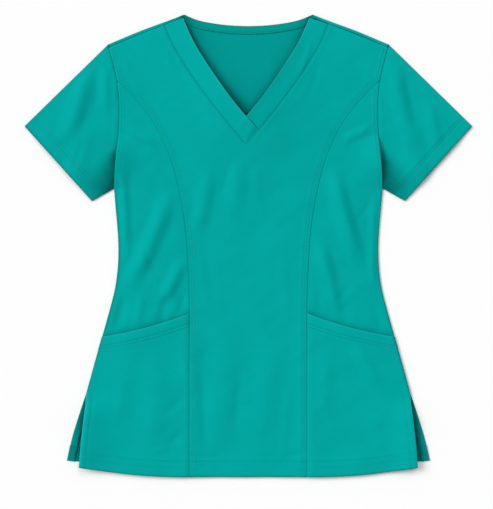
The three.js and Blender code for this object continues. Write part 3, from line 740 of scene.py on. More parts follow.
def cloth_mesh(name, patches, sizes, materials, face_up=True, grain=0.0):
    """A thin cloth shell over its patches, with a pattern map in metres, a map of wear with painted light and
    a map of painted shade. Its materials are those of the cloth's right side and of its wrong side."""
    vertices, faces, pattern, wear_and_light_maps, shaded = [], [], [], [], []
    for patch in patches:
        first = sum(len(v) for v in vertices)
        rows, columns = patch.x.shape
        places = [patch.x.ravel(), LENGTH / 2 - patch.down.ravel(), patch.z.ravel()]
        vertices.append(np.column_stack(places) * MM)
        cos, sin = math.cos(grain), math.sin(grain)
        u = patch.across.ravel() * cos + patch.along.ravel() * sin
        v = -patch.across.ravel() * sin + patch.along.ravel() * cos
        pattern.append(np.column_stack([u, -v]) * MM)
        wear_and_light_maps.append(patch.wear_and_painted_light.ravel())
        shaded.append(np.broadcast_to(patch.shade, patch.x.shape).ravel())
        corner = (np.arange(rows - 1)[:, None] * columns + np.arange(columns - 1)[None, :]).ravel()
        quads = np.column_stack([corner, corner + 1, corner + columns + 1, corner + columns])
        on_face = (patch.drop.ravel()[quads].max(axis=1) < TINY) & (corner < 0.4 * rows * columns)
        p = vertices[-1][quads[on_face]]
        diagonals = np.cross(p[:, 2] - p[:, 0], p[:, 3] - p[:, 1])[:, 2].sum()
        if (diagonals > 0) != (face_up != patch.under):
            quads = quads[:, ::-1]
        faces.append(quads + first)
    points = np.vstack(vertices)
    quads = np.vstack(faces)
    uv = np.vstack(pattern)

    mesh = bpy.data.meshes.new(name)
    mesh.from_pydata(points.tolist(), [], quads.tolist())
    layer = mesh.uv_layers.new(name="pattern")
    corners = np.empty(len(mesh.loops), dtype=np.int32)
    mesh.loops.foreach_get("vertex_index", corners)
    layer.data.foreach_set("uv", uv[corners].astype(np.float32).ravel())
    for painted, values in (("wear_and_painted_light", wear_and_light_maps), ("shade", shaded)):
        layer = mesh.attributes.new(painted, "FLOAT", "POINT")
        layer.data.foreach_set("value", np.concatenate(values).astype(np.float32))

    piece = bpy.data.objects.new(name, mesh)
    bpy.context.scene.collection.objects.link(piece)
    work = bmesh.new()
    work.from_mesh(mesh)
    bmesh.ops.remove_doubles(work, verts=work.verts, dist=WELD)
    bmesh.ops.dissolve_degenerate(work, edges=work.edges, dist=WELD)
    work.to_mesh(mesh)
    work.free()
    mesh.shade_smooth()

    shell = piece.modifiers.new("thickness", "SOLIDIFY")
    shell.thickness = sizes.cloth_thickness
    shell.offset = -1
    shell.material_offset = 1
    for material in materials:
        mesh.materials.append(material)
    only_selected(piece)
    bpy.ops.object.modifier_apply(modifier=shell.name)
    cut = uv[quads]
    sides = cut[:, 2] - cut[:, 0]
    others = cut[:, 3] - cut[:, 1]
    area = 0.5 * np.abs(sides[:, 0] * others[:, 1] - sides[:, 1] * others[:, 0]).sum()
    return piece, tuple(float(s) for s in np.ptp(uv, axis=0)), float(area)


def sewn_piece(name, node, patches, rests_on, sizes, materials, **lay):
    """Makes the cloth of a piece and gives it its place in the frame."""
    piece, flat, area = cloth_mesh(name, patches, sizes, materials, **lay)
    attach(piece, "root")
    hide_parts(node)
    area = min(area, flat[0] * flat[1])


# Faces of the sewn pieces

def edge_reliefs(face, out, down, sizes):
    """Adds the stitched vent and the front hem to a face, alike on a side panel and on the pocket over it."""
    gap, along = from_line(line_of(FRONT_VENT), out, down)
    face = face + sewn_side(gap, along, VENT_STITCH, sizes, 9.5)
    gap, along = from_line(front_hem_line(), out, down)
    return face + hem_relief(gap, along, HEM_STITCH, sizes)


def front_centre_face(x, down, sizes):
    """The middle of the front: topstitched along the princess seams, the armholes and the neck bands."""
    side = np.where(x < 0, -1.0, 1.0)
    out = np.abs(x)
    face = body_face(x, down)
    gap, along = from_line(line_of(PRINCESS_SEAM), out, down)
    face += sewn_side(gap, along, TOPSTITCH, sizes, SEAM_RAISED) * seam_strength(down)
    gap, along = from_line(line_of(ARMHOLE, end=100.0), out, down)
    face += sewn_side(gap, along, ARMHOLE_STITCH, sizes, ARMHOLE_RAISED)
    gap, along = from_line(line_of(BAND_SEAM), side * (x - NECK_SHIFT), down)
    face += sewn_side(gap, along, BAND_STITCH, sizes, BAND_RAISED)
    gap, along = from_line(SHOULDER_EDGE, out, down - SHOULDER_DROP)
    face += 0.6 * tucked_side(gap, along, sizes)
    gap, along = from_line(front_hem_line(), out, down)
    return face + hem_relief(gap, along + side * 37, HEM_STITCH, sizes)


def side_face(x, down, sizes):
    """A side panel, which dips in under the middle of the front."""
    out = np.abs(x)
    face = body_face(x, down)
    gap, along = from_line(line_of(PRINCESS_SEAM), out, down)
    face += tucked_side(gap, along, sizes) * seam_strength(down)
    gap, along = from_line(line_of(ARMHOLE, start=90.0), out, down)
    face += sewn_side(gap, along, ARMHOLE_STITCH, sizes, ARMHOLE_RAISED)
    return edge_reliefs(face, out, down, sizes)


def pocket_face(x, down, side, sizes):
    """A pocket over its panel, caught in both seams, with a mouth that stands a little open between them."""
    out = np.abs(x)
    face = body_face(x, down)
    seam_gap, along = from_line(line_of(PRINCESS_SEAM), out, down)
    face += tucked_side(seam_gap, along + 13, sizes)
    edge_gap = np.maximum(0, armhole_or_side(down, FRONT_VENT) - out)
    caught = ease(np.minimum(seam_gap, edge_gap + 2), -2, 7)
    mouth = side_line(1, POCKET_SECTION)
    mouth_gap, along = from_line(mouth, out, down)
    across = np.clip((out - mouth[0, 0]) / (mouth[-1, 0] - mouth[0, 0]), 0, 1)
    gape = POCKET_GAPE * 4 * across * (1 - across) * (1 - ease(mouth_gap, 0, POCKET_GAPE_RUN))
    face += POCKET_RISE * caught + gape
    face += hem_relief(mouth_gap, along + side * 21, POCKET_STITCH, sizes)
    return edge_reliefs(face, out, down, sizes)


def cuff_line(side):
    """A sleeve's cuff, from its tip to its corner at the underarm."""
    return np.array([side_point(side, CUFF_TIP), side_point(side, CUFF_CORNER)])


def sewn_sleeve_face(x, down, sizes):
    """A sleeve's upper face, drawn up in a low ridge beside the armhole."""
    out = np.abs(x)
    face = sleeve_face(x, down)
    gap, along = from_line(line_of(ARMHOLE), out, down)
    ridge = SLEEVE_RIDGE * np.exp(-(((gap - SLEEVE_RIDGE_AT) / SLEEVE_RIDGE_HALF) ** 2))
    drawn = ridge * (0.7 + 0.5 * ripple(along + 60))
    face += (tucked_side(gap, along + 5, sizes) + drawn) * (1 - ease(down, DIP_FROM, DIP_FULL))
    gap, along = from_line(cuff_line(1), out, down)
    return face + hem_relief(gap, along + np.sign(x) * 29, CUFF_STITCH, sizes)


def back_line(out):
    """How far down the back's neck and shoulder edge lies."""
    return np.where(out < BACK_NECK[-1, 0], smooth(BACK_NECK, out), smooth(SHOULDER_EDGE, out))


def back_hem_line():
    """The back's hem on the right side, from the middle outwards."""
    share = np.linspace(0, 1, 30)
    middle, edge = BACK_SECTIONS[-1, :2]
    return np.column_stack([share * smooth(BACK_VENT, edge), mix(middle, edge, share**2)])


def deep_shade(x, down):
    """How much painted shade darkens the inside of the back where it lies deep: in the vents and close under
    the neck bands.
    """
    out = np.abs(x)
    aside = out - armhole_or_side(down, FRONT_VENT)
    vent = ease(down, VENT_TOP - 4, VENT_TOP + 12) * ease(aside, -8, -2)
    beside_front = np.exp(-((np.maximum(aside, 0) / VENT_SHADE_REACH) ** 2))
    vent = vent * (VENT_SHADE + VENT_EDGE_SHADE * beside_front)
    to_left, to_right = (
        from_line(line_of(NECK_EDGE, side, NECK_SHIFT), x, down)[0] / reach
        for (side, _), reach in zip(SIDES, NECK_SHADE_REACH)
    )
    depth = NECK_SHADE + NECK_TOP_SHADE * (1 - ease(down, 20, 70)) + NECK_LOW_SHADE * ease(down, 90, 150)
    neck = depth * np.exp(-np.minimum(to_left, to_right)) * (1 - ease(down, 170, 190))
    return PAINTED_SHADE_DEPTH * np.maximum(vent, neck)


def back_lift(x, down, sizes):
    """How far the back's outer face stands off the table: creases, and the dips along its stitching."""
    out = np.abs(x)
    clear = ease(down - back_line(out), 14, 40) * ease(armhole_or_side(down, BACK_VENT) - out, 3, 25)
    lift = fold_relief(BACK_CREASES, x, down) * clear
    for line, rows in ((line_of(BACK_VENT), VENT_STITCH), (back_hem_line(), HEM_STITCH)):
        gap, _ = from_line(line, out, down)
        lift = lift + stitch_grooves(gap, rows, sizes)
    return lift


def inside_band(x, down, side):
    """How far places lie past the free edge of the band on one side, towards its seam."""
    return BAND_LEAN * (side * (x - NECK_SHIFT) - smooth(NECK_EDGE, down))


def band_face(x, down, side, sizes):
    """A neck band: it dips into its seam, and at the V the left one rises over the right one."""
    face = body_face(x, down)
    own_gap, along = from_line(line_of(BAND_SEAM, side, NECK_SHIFT), x, down)
    other_gap, _ = from_line(line_of(BAND_SEAM, -side, NECK_SHIFT), x, down)
    seam_gap = np.minimum(own_gap, other_gap)
    face += tucked_side(seam_gap, along, sizes)
    edge_gap, along = from_line(line_of(NECK_EDGE, side, NECK_SHIFT), x, down)
    lip = BAND_LIP * ease(down, 8, 60)
    overlap = inside_band(x, down, -side)
    covered = np.maximum(0, overlap) if side > 0 else 0.0
    lip = lip * ease(seam_gap, 0, 11)
    face += (lip + 0.6 * sizes.pucker / MM * ripple(along + 40)) * np.exp(-(edge_gap + covered) / 9)
    if side < 0:
        return face + ease(overlap, -1.8, 0.8) * mix(0.2, LAP_RISE, ease(seam_gap, 0.5, 7))
    return face - ease(overlap, -1.2, 1.2) * mix(0.9, 0.5, ease(seam_gap, 0.5, 7))


def facing_face(x, down, sizes):
    """The strip inside the back of the neck, stitched down along its lower edge."""
    below = down - back_line(np.abs(x))
    face = 1.45 + 0.08 * ripple(x * 0.9 + 3)
    face -= stitch_grooves(FACING_WIDTH - below, (FACING_STITCH,), sizes)
    return face + 0.6 * sizes.pucker / MM * ripple(x + 11) * ease(below, 3, 9)


# Grids of the sewn pieces

def front_centre_patch(side, sizes):
    """One half of the middle of the front, which runs on a little under the shoulder's edge at the top."""
    at, drop, extra, wear_and_painted_light = front_hem_rows(-1.0, sizes)
    at = np.concatenate([[-1 - UNDER_FRONT / SHOULDER_RUN, -1 - 0.5 / SHOULDER_RUN], at])
    drop = np.concatenate([[LAP_FALL, 0.3], drop])
    extra = np.concatenate([[0, 0], extra])
    wear_and_painted_light = np.concatenate([[0, 0], wear_and_painted_light])
    middle, seam, raised = front_row(at)
    rows = len(at)
    banded = at < V_SECTION - TINY
    inner = np.where(banded, smooth(BAND_SEAM, middle) + SEAM_GAP, 0)
    outer = np.where(at < 0, smooth(ARMHOLE, seam), smooth(PRINCESS_SEAM, seam)) - SEAM_GAP / 2
    start = np.column_stack([side * inner + NECK_SHIFT, middle])
    end = np.column_stack([side * outer, seam])
    radius = sizes.seam_radius / MM
    band_edge = folded_edge(rows, radius, ALLOWANCE, SEWN_LINES[:6], 0.2 * OVER_SEAM_SHADE)
    first = joined_edge(band_edge, closed_edge(rows, band_edge.inward.shape[1]), ~banded)
    on_armhole = np.where(at < 0, 0.3 * ARMHOLE_WEAR_AND_HIGHLIGHT, OVER_SEAM_SHADE * seam_strength(seam))[:, None]
    last = folded_edge(rows, radius, ALLOWANCE, SEWN_LINES, on_armhole)
    patch = spread(start, end, first, last, CENTRE_LINES)
    top_middle, top_edge, _ = front_row(np.array([-1.0]))
    level = mix(top_middle[0], top_edge[0], patch.share)
    follow = np.maximum(0, shoulder_seam(np.abs(patch.x)) - level)
    bend = np.clip(raised, 0, 1)[:, None] * follow
    patch.down = patch.down + bend
    patch.along = patch.along + bend
    patch = with_rows(patch, drop, extra, wear_and_painted_light)
    patch.z = front_centre_face(patch.x, patch.down, sizes) - patch.drop
    return patch


def side_patch(side, sizes, pocket=False):
    """A side panel, whose top runs on under the front, or the pocket on it, with its own turned mouth."""
    at, drop, extra, wear_and_painted_light = front_hem_rows(POCKET_SECTION if pocket else 0.0, sizes)
    if not pocket:
        at, drop, extra, wear_and_painted_light = (np.insert(values, 0, [values[0]] * 2) for values in (at, drop, extra, wear_and_painted_light))
    else:
        edge = folded_edge(1, sizes.fold_radius / MM, POCKET_HEM_DEPTH, MOUTH_LINES, MOUTH_WEAR_AND_HIGHLIGHT)
        upper = section_at(SECTIONS[POCKET_SECTION, MIDDLE] + edge.inward[0])
        keep = at > upper[-1] + 0.02
        at = np.concatenate([upper, at[keep]])
        drop = np.concatenate([edge.drop[0], drop[keep]])
        extra = np.concatenate([(edge.cloth - edge.inward)[0], extra[keep]])
        wear_and_painted_light = np.concatenate([edge.wear_and_painted_light[0], wear_and_painted_light[keep]])
    rows = len(at)
    start, end = side_ends(side, np.clip(at, 0, LAST_SECTION))
    first = lapped_edge(rows, UNDER_FRONT, PLAIN_LINES, SEAM_SHADE * seam_strength(start[:, 1])[:, None])
    vented = ease(end[:, 1], VENT_TOP - 6, VENT_TOP + 4)
    armhole = 1 - ease(end[:, 1], UNDERARM_TO - 6, UNDERARM_TO + 6)
    radius = mix(mix(sizes.side_radius / MM, sizes.seam_radius / MM, armhole), sizes.fold_radius / MM, vented)
    depth = mix(1.0 + 2 * armhole, VENT_DEPTH, vented)
    sewn = mix(OUTLINE_SHADE, ARMHOLE_WEAR_AND_HIGHLIGHT, np.maximum(armhole, vented))[:, None]
    last = folded_edge(rows, radius, depth, SEWN_LINES[:-1], sewn)
    hanging = np.maximum(0, underarm_lift(end[:, 1]) - 1.5)
    last.drop[:, :len(UNDER_SHARES)] += hanging[:, None] * UNDER_SHARES**0.7
    patch = spread(start, end, first, last, SIDE_PANEL_LINES)
    share = np.clip(patch.share, 0, 1)
    bend = bowed(np.clip(at, 0, LAST_SECTION), share)
    patch.down = patch.down + bend
    patch.along = patch.along + bend
    patch = with_rows(patch, drop, extra, wear_and_painted_light)
    if not pocket:
        # Painted shade on the panel along the pocket's mouth
        mouth_gap, along = from_line(side_line(side, POCKET_SECTION), patch.x, patch.down)
        mouth_shade = SEAM_SHADE * np.exp(-mouth_gap / 4.5) * (1 + 0.3 * ripple(along / 3))
        patch.wear_and_painted_light = np.minimum(patch.wear_and_painted_light, mouth_shade)
        for row, rise, fall in TOP_ROWS:
            patch.x[row] += side * rise * 0.5 * share[row]
            patch.down[row] -= rise
            patch.along[row] -= rise
            patch.drop[row] += fall
    face = pocket_face(patch.x, patch.down, side, sizes) if pocket else side_face(patch.x, patch.down, sizes)
    patch.z = face - patch.drop
    return patch


def band_patch(side, sizes):
    """A neck band from its folded free edge to its seam, its rows raked to meet the other band at the V."""
    seams = np.concatenate([[13.9], np.linspace(14.8, 187, 76), [187]])
    edges = smooth(BAND_RAKE, seams)
    rows = len(seams)
    start = np.column_stack([side * smooth(NECK_EDGE, edges) + NECK_SHIFT, edges])
    end = np.column_stack([side * smooth(BAND_SEAM, seams) + NECK_SHIFT, seams])
    first = folded_edge(rows, sizes.band_radius / MM, BAND_TURN, PLAIN_LINES, BAND_WEAR_AND_HIGHLIGHT)
    last = lapped_edge(rows, UNDER_FRONT, PLAIN_LINES, 0.15 * SEAM_SHADE)
    patch = spread(start, end, first, last, BAND_LINES)
    step = (patch.x[-2] - patch.x[-3]).mean(), (patch.down[-2] - patch.down[-3]).mean()
    beyond = LAP_BEYOND / math.hypot(*step)
    patch.x[-1] += step[0] * beyond
    patch.down[-1] += step[1] * beyond
    patch.drop[-1] += 0.5
    limit = shoulder_seam(np.clip(np.abs(patch.x), SHOULDER_EDGE[0, 0], SHOULDER_EDGE[-1, 0]))
    patch.down = np.maximum(patch.down, limit - 1.2)
    patch.drop = patch.drop + 0.4 * (1 - ease(patch.down, limit - 1.2, limit))
    run = np.concatenate([[0], np.cumsum(np.hypot(*np.diff((start + end) / 2, axis=0).T))])
    run[-1] += LAP_BEYOND
    patch.across = patch.cloth
    patch.along = run[:, None] + 0 * patch.cloth
    patch.z = band_face(patch.x, patch.down, side, sizes) - patch.drop
    return patch


def facing_patch(sizes):
    """The strip inside the back of the neck, turned under along its lower edge and at the top."""
    edge_low = folded_edge(1, 0.3, 2.5, np.array([0.4, 1.1, 1.5, 2.1, 3.0]), 0.32 * OUTLINE_SHADE)
    low = FACING_WIDTH - edge_low.inward[0]
    high = np.linspace(low[-1], 1.2, 4)[1:]
    edge_high = folded_edge(1, 0.3, 1.5, np.array([0.4]))
    top = edge_high.inward[0, ::-1]
    below = np.concatenate([low, high, top])
    drop = np.concatenate([edge_low.drop[0], 0 * high, edge_high.drop[0, ::-1]])
    turned_low = (edge_low.inward - edge_low.cloth)[0]
    turned_high = (edge_high.cloth - edge_high.inward)[0, ::-1]
    extra = np.concatenate([turned_low, 0 * high, turned_high])
    wear_and_painted_light = np.concatenate([edge_low.wear_and_painted_light[0], 0 * high, edge_high.wear_and_painted_light[0, ::-1]])
    neck_point = BACK_NECK[-1, 0]

    def reach(side, level):
        return np.minimum(smooth(NECK_EDGE, level) + side * NECK_SHIFT, neck_point) - 0.2

    level = below + smooth(BACK_NECK, reach(1, below))
    share = np.linspace(0, 1, 74)[None, :]
    x = mix(-reach(-1, level)[:, None], reach(1, level)[:, None], share)
    down = smooth(BACK_NECK, np.abs(x)) + below[:, None]
    spare = np.zeros(x.shape)
    patch = Patch(x, down, spare + drop[:, None], x, down + extra[:, None], spare + wear_and_painted_light[:, None])
    # Painted shade on the strip close under the neck bands
    patch.shade = deep_shade(x, down)
    patch.z = facing_face(patch.x, patch.down, sizes) - patch.drop
    return patch


def back_patch(side, sizes):
    """One half of the back: its turned neck and rolled shoulder at the top, then down to its turned hem."""
    neck = BACK_NECK[-1, 0]
    full = SHOULDER_EDGE[-1, 0]
    roll = sizes.shoulder_roll / MM
    turned = sizes.fold_radius / MM
    marks = np.concatenate([np.linspace(0, neck, 19), [93.5, 95.5], np.linspace(100, full - 12, 20)]) / full
    shoulder = ease(marks * full, neck + 0.5, neck + 3.5)
    top = folded_edge(
        len(marks), mix(turned, roll, shoulder), mix(6.0, SHOULDER_DROP - roll - 0.1, shoulder), TURN_LINES,
    )

    hem = folded_edge(1, turned, HEM_DEPTH, HEM_LINES)
    hem_in = hem.inward[0, ::-1]
    levels = BACK_SECTIONS[-1, 0] - hem_in
    hem_at = np.interp(levels, BACK_SECTIONS[:, 0], np.arange(len(BACK_SECTIONS)))
    upper = [np.linspace(i, i + 1, count, endpoint=False) for i, count in enumerate(BACK_ROWS)]
    upper.append(np.linspace(len(BACK_ROWS), hem_at[0], BACK_LAST_ROWS, endpoint=False))
    upper = np.concatenate(upper)
    at = np.concatenate([upper, hem_at])
    above = np.zeros(len(upper))
    hem_drop = np.concatenate([above, hem.drop[0, ::-1]])
    hem_extra = np.concatenate([above, hem_in - hem.cloth[0, ::-1]])
    hem_shade = np.concatenate([above, hem.wear_and_painted_light[0, ::-1]])
    middle = section(BACK_SECTIONS, at, 0)
    edge = section(BACK_SECTIONS, at, 1)
    kept = section(BACK_SECTIONS, at, 2)

    edge_levels = np.concatenate([SHOULDER_EDGE[-1, 1] + top.inward[-1], edge])
    rows = len(edge_levels)
    bound = (armhole_or_side(edge_levels, BACK_VENT) - SEAM_GAP / 2)[:, None]
    vented = ease(edge_levels, VENT_TOP - 6, VENT_TOP + 4)
    outer = folded_edge(rows, mix(0.6, turned, vented), mix(1.0, VENT_DEPTH, vented), SIDE_LINES)
    ends = outer.inward.shape[1]
    shares = np.hstack([np.tile(marks, (rows, 1)), ((bound - outer.inward) / bound)[:, ::-1]])
    outline = back_line(shares * full)
    lines = top.inward.shape[1]

    def over_all(values):
        """Spreads an edge's rows over the side's lines too."""
        return np.pad(values.T, ((0, 0), (0, ends)), mode="edge")

    start_level = mix(BACK_NECK[0, 1], SHOULDER_EDGE[-1, 1], shares[lines:] ** 2)
    lowered = mix(middle[:, None], edge[:, None], shares[lines:] ** 2)
    lowered = lowered + kept[:, None] * (outline[lines:] - start_level)
    down = np.vstack([outline[:lines] + over_all(top.inward), lowered])
    across_all = np.ones((1, shares.shape[1]))
    drop = np.vstack([over_all(top.drop), hem_drop[:, None] * across_all])
    extra = np.vstack([over_all(top.cloth - top.inward), hem_extra[:, None] * across_all])
    wear_and_painted_light = np.vstack([over_all(top.wear_and_painted_light), hem_shade[:, None] * across_all])
    inner = ((0, 0), (len(marks), 0))
    side_drop = np.pad(outer.drop[:, ::-1], inner)
    side_extra = np.pad((outer.inward - outer.cloth)[:, ::-1], inner)
    side_shade = np.pad(outer.wear_and_painted_light[:, ::-1], inner)
    x = shares * bound
    patch = Patch(
        side * x, down, stacked(drop, side_drop), side * (x + side_extra), down + extra,
        np.minimum(wear_and_painted_light, side_shade),
    )
    patch.drop = np.minimum(patch.drop, 2 * roll)
    patch.z = back_lift(patch.x, patch.down, sizes) + patch.drop
    # Painted shade on the back's wrong side, in the vents and under the neck bands
    patch.shade = deep_shade(patch.x, patch.down)
    # The allowance folded over beside a vent shows the right side, so its painted shade is as deep as the
    # wrong side's round it
    turned_over = (patch.drop > 1.8 * turned) & (patch.shade < -0.05)
    patch.wear_and_painted_light = np.where(turned_over, np.minimum(patch.wear_and_painted_light, 0.84 * patch.shade - 0.35), patch.wear_and_painted_light)
    return patch


def unit(vector):
    """The vector of length 1 in a vector's direction."""
    return vector / np.hypot(*vector)


def sleeve_rows(sizes):
    """Rows round a sleeve, down its upper layer and back up its lower one: the share of the way from the
    top fold to the underarm, the angle turned through, and whether the row is in the lower layer."""
    roll = sizes.shoulder_roll / MM
    quarter = np.radians([0, 30, 60, 90])
    near = np.array([1.8, 3.0, 5.0])
    faces = np.linspace(8, SLEEVE_WIDTH - 8, 44)
    upper = np.concatenate([
        roll * (1 - np.sin(quarter[::-1])), near, faces, SLEEVE_WIDTH - near[::-1],
        SLEEVE_WIDTH - roll * (1 - np.sin(quarter)),
    ])
    turn = np.concatenate([quarter[::-1], 0 * near, 0 * faces, 0 * near, quarter])
    share = np.concatenate([upper, upper[::-1][1:]]) / SLEEVE_WIDTH
    angle = np.concatenate([turn, math.pi - turn[::-1][1:]])
    return share, angle, np.arange(len(share)) >= len(upper)


def underarm_shade(x, down):
    """How much painted shade darkens a sleeve's upper layer in the gap down the underarm, and along its
    lower fold.
    """
    aside = np.maximum(0, np.abs(x) - smooth(ARMHOLE, np.minimum(down, UNDERARM_TO)))
    wedge = mix(*UNDERARM_WEDGE, np.clip((down - 191) / 50, 0, 1))
    to_fold, _ = from_line(SIDE_EDGE[:2], np.abs(x), down)
    gap = ease(down, DIP_FROM + 12, DIP_FULL) * np.exp(-((aside / wedge) ** 1.6))
    return np.maximum(gap, 0.45 * np.exp(-to_fold / 5))


def sleeve_patches(side, sizes):
    """A sleeve as a tube pressed flat: its upper and its lower layer, which meet round the top fold and the
    underarm. On the pattern they lie on either side of the top fold."""
    share, angle, below = sleeve_rows(sizes)
    rows = len(share)
    seam_down = mix(ARMHOLE[0, 0], ARMHOLE[-1, 0], share)
    start = np.column_stack([side * (smooth(ARMHOLE, seam_down) + SEAM_GAP / 2), seam_down])
    tip = side_point(side, CUFF_TIP)
    corner = side_point(side, CUFF_CORNER)
    run = mix(tip[None, :], corner[None, :], share[:, None]) - start
    width = np.hypot(run[:, 0], run[:, 1])
    direction = run / width[:, None]
    cuff = unit(tip - corner)
    lean = 1 / np.abs(direction[:, 0] * cuff[1] - direction[:, 1] * cuff[0])[:, None]
    first = lapped_edge(rows, np.where(below, 0.0, UNDER_FRONT + tuck(seam_down)), PLAIN_LINES)
    last = folded_edge(rows, sizes.fold_radius / MM * 0.9, CUFF_DEPTH, HEM_LINES)
    patch = patch_from(start, direction, *lines_between(first, last, width, 1, lean, SLEEVE_LINES))

    # Round the two folds, what lies below the face is moved inwards
    top_run = CUFF_TIP - SHOULDER_EDGE[-1]
    under_run = CUFF_CORNER - SIDE_SEAM[0, ::-1]
    from_top = unit(side_point(side, (-top_run[1], top_run[0])))
    from_under = unit(side_point(side, (under_run[1], -under_run[0])))
    towards = np.where((share < 0.5)[:, None], from_top[None, :], from_under[None, :])
    inset = patch.drop * np.sin(angle)[:, None]
    patch.x = patch.x + towards[:, :1] * inset
    patch.down = patch.down + towards[:, 1:] * inset
    half = sewn_sleeve_face(patch.x, patch.down, sizes) / 2
    patch.z = half + (half - patch.drop) * np.cos(angle)[:, None]
    # Painted shade: a dark rim round the sleeve's folds
    patch.wear_and_painted_light = np.minimum(patch.wear_and_painted_light, OUTLINE_SHADE * np.sin(angle)[:, None])
    # Painted shade in the gap down the underarm and along the lower fold
    shade = underarm_shade(patch.x, patch.down) * ~below[:, None]
    patch.wear_and_painted_light = np.minimum(patch.wear_and_painted_light, PAINTED_SHADE_DEPTH * shade)

    # The lower layer's pattern is the upper one's, mirrored over the top fold
    fold_start = side_point(side, SHOULDER_EDGE[-1])
    fold = unit(tip - fold_start)
    off_x, off_down = patch.across - fold_start[0], patch.along - fold_start[1]
    on_fold = off_x * fold[0] + off_down * fold[1]
    mirrored_x = fold_start[0] + 2 * on_fold * fold[0] - off_x
    mirrored_down = fold_start[1] + 2 * on_fold * fold[1] - off_down
    underarm = rows // 2
    layers = []
    for part, across, along in (
        (slice(0, underarm + 1), patch.across, patch.along),
        (slice(underarm, None), mirrored_x, mirrored_down),
    ):
        grids = (patch.x, patch.down, patch.drop, across, along, patch.wear_and_painted_light)
        layers.append(Patch(*(grid[part] for grid in grids)))
        layers[-1].z = patch.z[part]
    layers[1].under = True
    return layers


# Stitching

def beside(line, offset):
    """A line of points moved sideways, to the right of its own direction as drawn on the table."""
    tangent = np.gradient(line, axis=0)
    tangent /= np.hypot(tangent[:, 0], tangent[:, 1])[:, None]
    normal = np.column_stack([-tangent[:, 1], tangent[:, 0]])
    return line + normal * offset


def rows_beside(line, side, offsets, face):
    """Runs of stitches in a piece's upper face, one at each offset from a line."""
    return [(beside(line, side * offset), face, 1) for offset in offsets]


def stitch_places(line, pitch):
    """How far along a line each stitch lies, and how far along it its own points lie."""
    lengths = np.concatenate([[0], np.cumsum(np.hypot(*np.diff(line, axis=0).T))])
    places = np.arange(pitch / 2, lengths[-1], pitch)
    return places, lengths


def stitch_shape(length, width):
    """One stitch along x: a round thread whose ends go down into the cloth."""
    sides, rings = 6, 5
    points = []
    for ring in range(rings):
        share = ring / (rings - 1)
        along = (share - 0.5) * length
        rise = width * (0.42 - 1.25 * (2 * share - 1) ** 4)
        radius = width / 2 * (1 - 0.35 * (2 * share - 1) ** 4)
        for k in range(sides):
            turn = 2 * math.pi * k / sides
            points.append((along, radius * math.cos(turn), rise + radius * math.sin(turn)))
    faces = []
    for ring in range(rings - 1):
        for k in range(sides):
            a = ring * sides + k
            b = ring * sides + (k + 1) % sides
            faces.append((a, b, b + sides, a + sides))
    faces.append(tuple(range(sides))[::-1])
    faces.append(tuple(range((rings - 1) * sides, rings * sides)))
    return np.array(points), faces


def stitching(name, runs, sizes, material):
    """Rows of stitches as one mesh. A run is a line, the face that it is sewn in and which way is up."""
    shape, shape_faces = stitch_shape(sizes.stitch_length / MM, sizes.thread_width / MM)
    points, faces = [], []
    count = 0
    for line, face, up in runs:
        places, lengths = stitch_places(line, sizes.stitch_pitch / MM)
        half = sizes.stitch_length / MM / 2
        ends = []
        for shift in (-half, half):
            x = np.interp(places + shift, lengths, line[:, 0])
            down = np.interp(places + shift, lengths, line[:, 1])
            ends.append(np.column_stack([x, LENGTH / 2 - down, face(x, down)]))
        centre = (ends[0] + ends[1]) / 2
        forward = ends[1] - ends[0]
        forward /= np.linalg.norm(forward, axis=1)[:, None]
        above = np.tile([0.0, 0.0, float(up)], (len(places), 1))
        across = np.cross(above, forward)
        across /= np.linalg.norm(across, axis=1)[:, None]
        above = np.cross(forward, across)
        made = (
            centre[:, None, :]
            + forward[:, None, :] * shape[None, :, 0:1]
            + across[:, None, :] * shape[None, :, 1:2]
            + above[:, None, :] * shape[None, :, 2:3]
        )
        points.append(made.reshape(-1, 3) * MM)
        for i in range(len(places)):
            faces.extend(tuple(count + i * len(shape) + v for v in f) for f in shape_faces)
        count += len(places) * len(shape)
    mesh = bpy.data.meshes.new(name)
    mesh.from_pydata(np.vstack(points).tolist(), [], faces)
    mesh.shade_smooth()
    work = bmesh.new()
    work.from_mesh(mesh)
    bmesh.ops.recalc_face_normals(work, faces=work.faces)
    work.to_mesh(mesh)
    work.free()
    thread = bpy.data.objects.new(name, mesh)
    bpy.context.scene.collection.objects.link(thread)
    mesh.materials.append(material)
    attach(thread, "root")
    return thread


# Materials

SLUB_FINE = 2600  # how often the yarns' shade changes in a metre, across them and along them
SLUB_LONG = 55


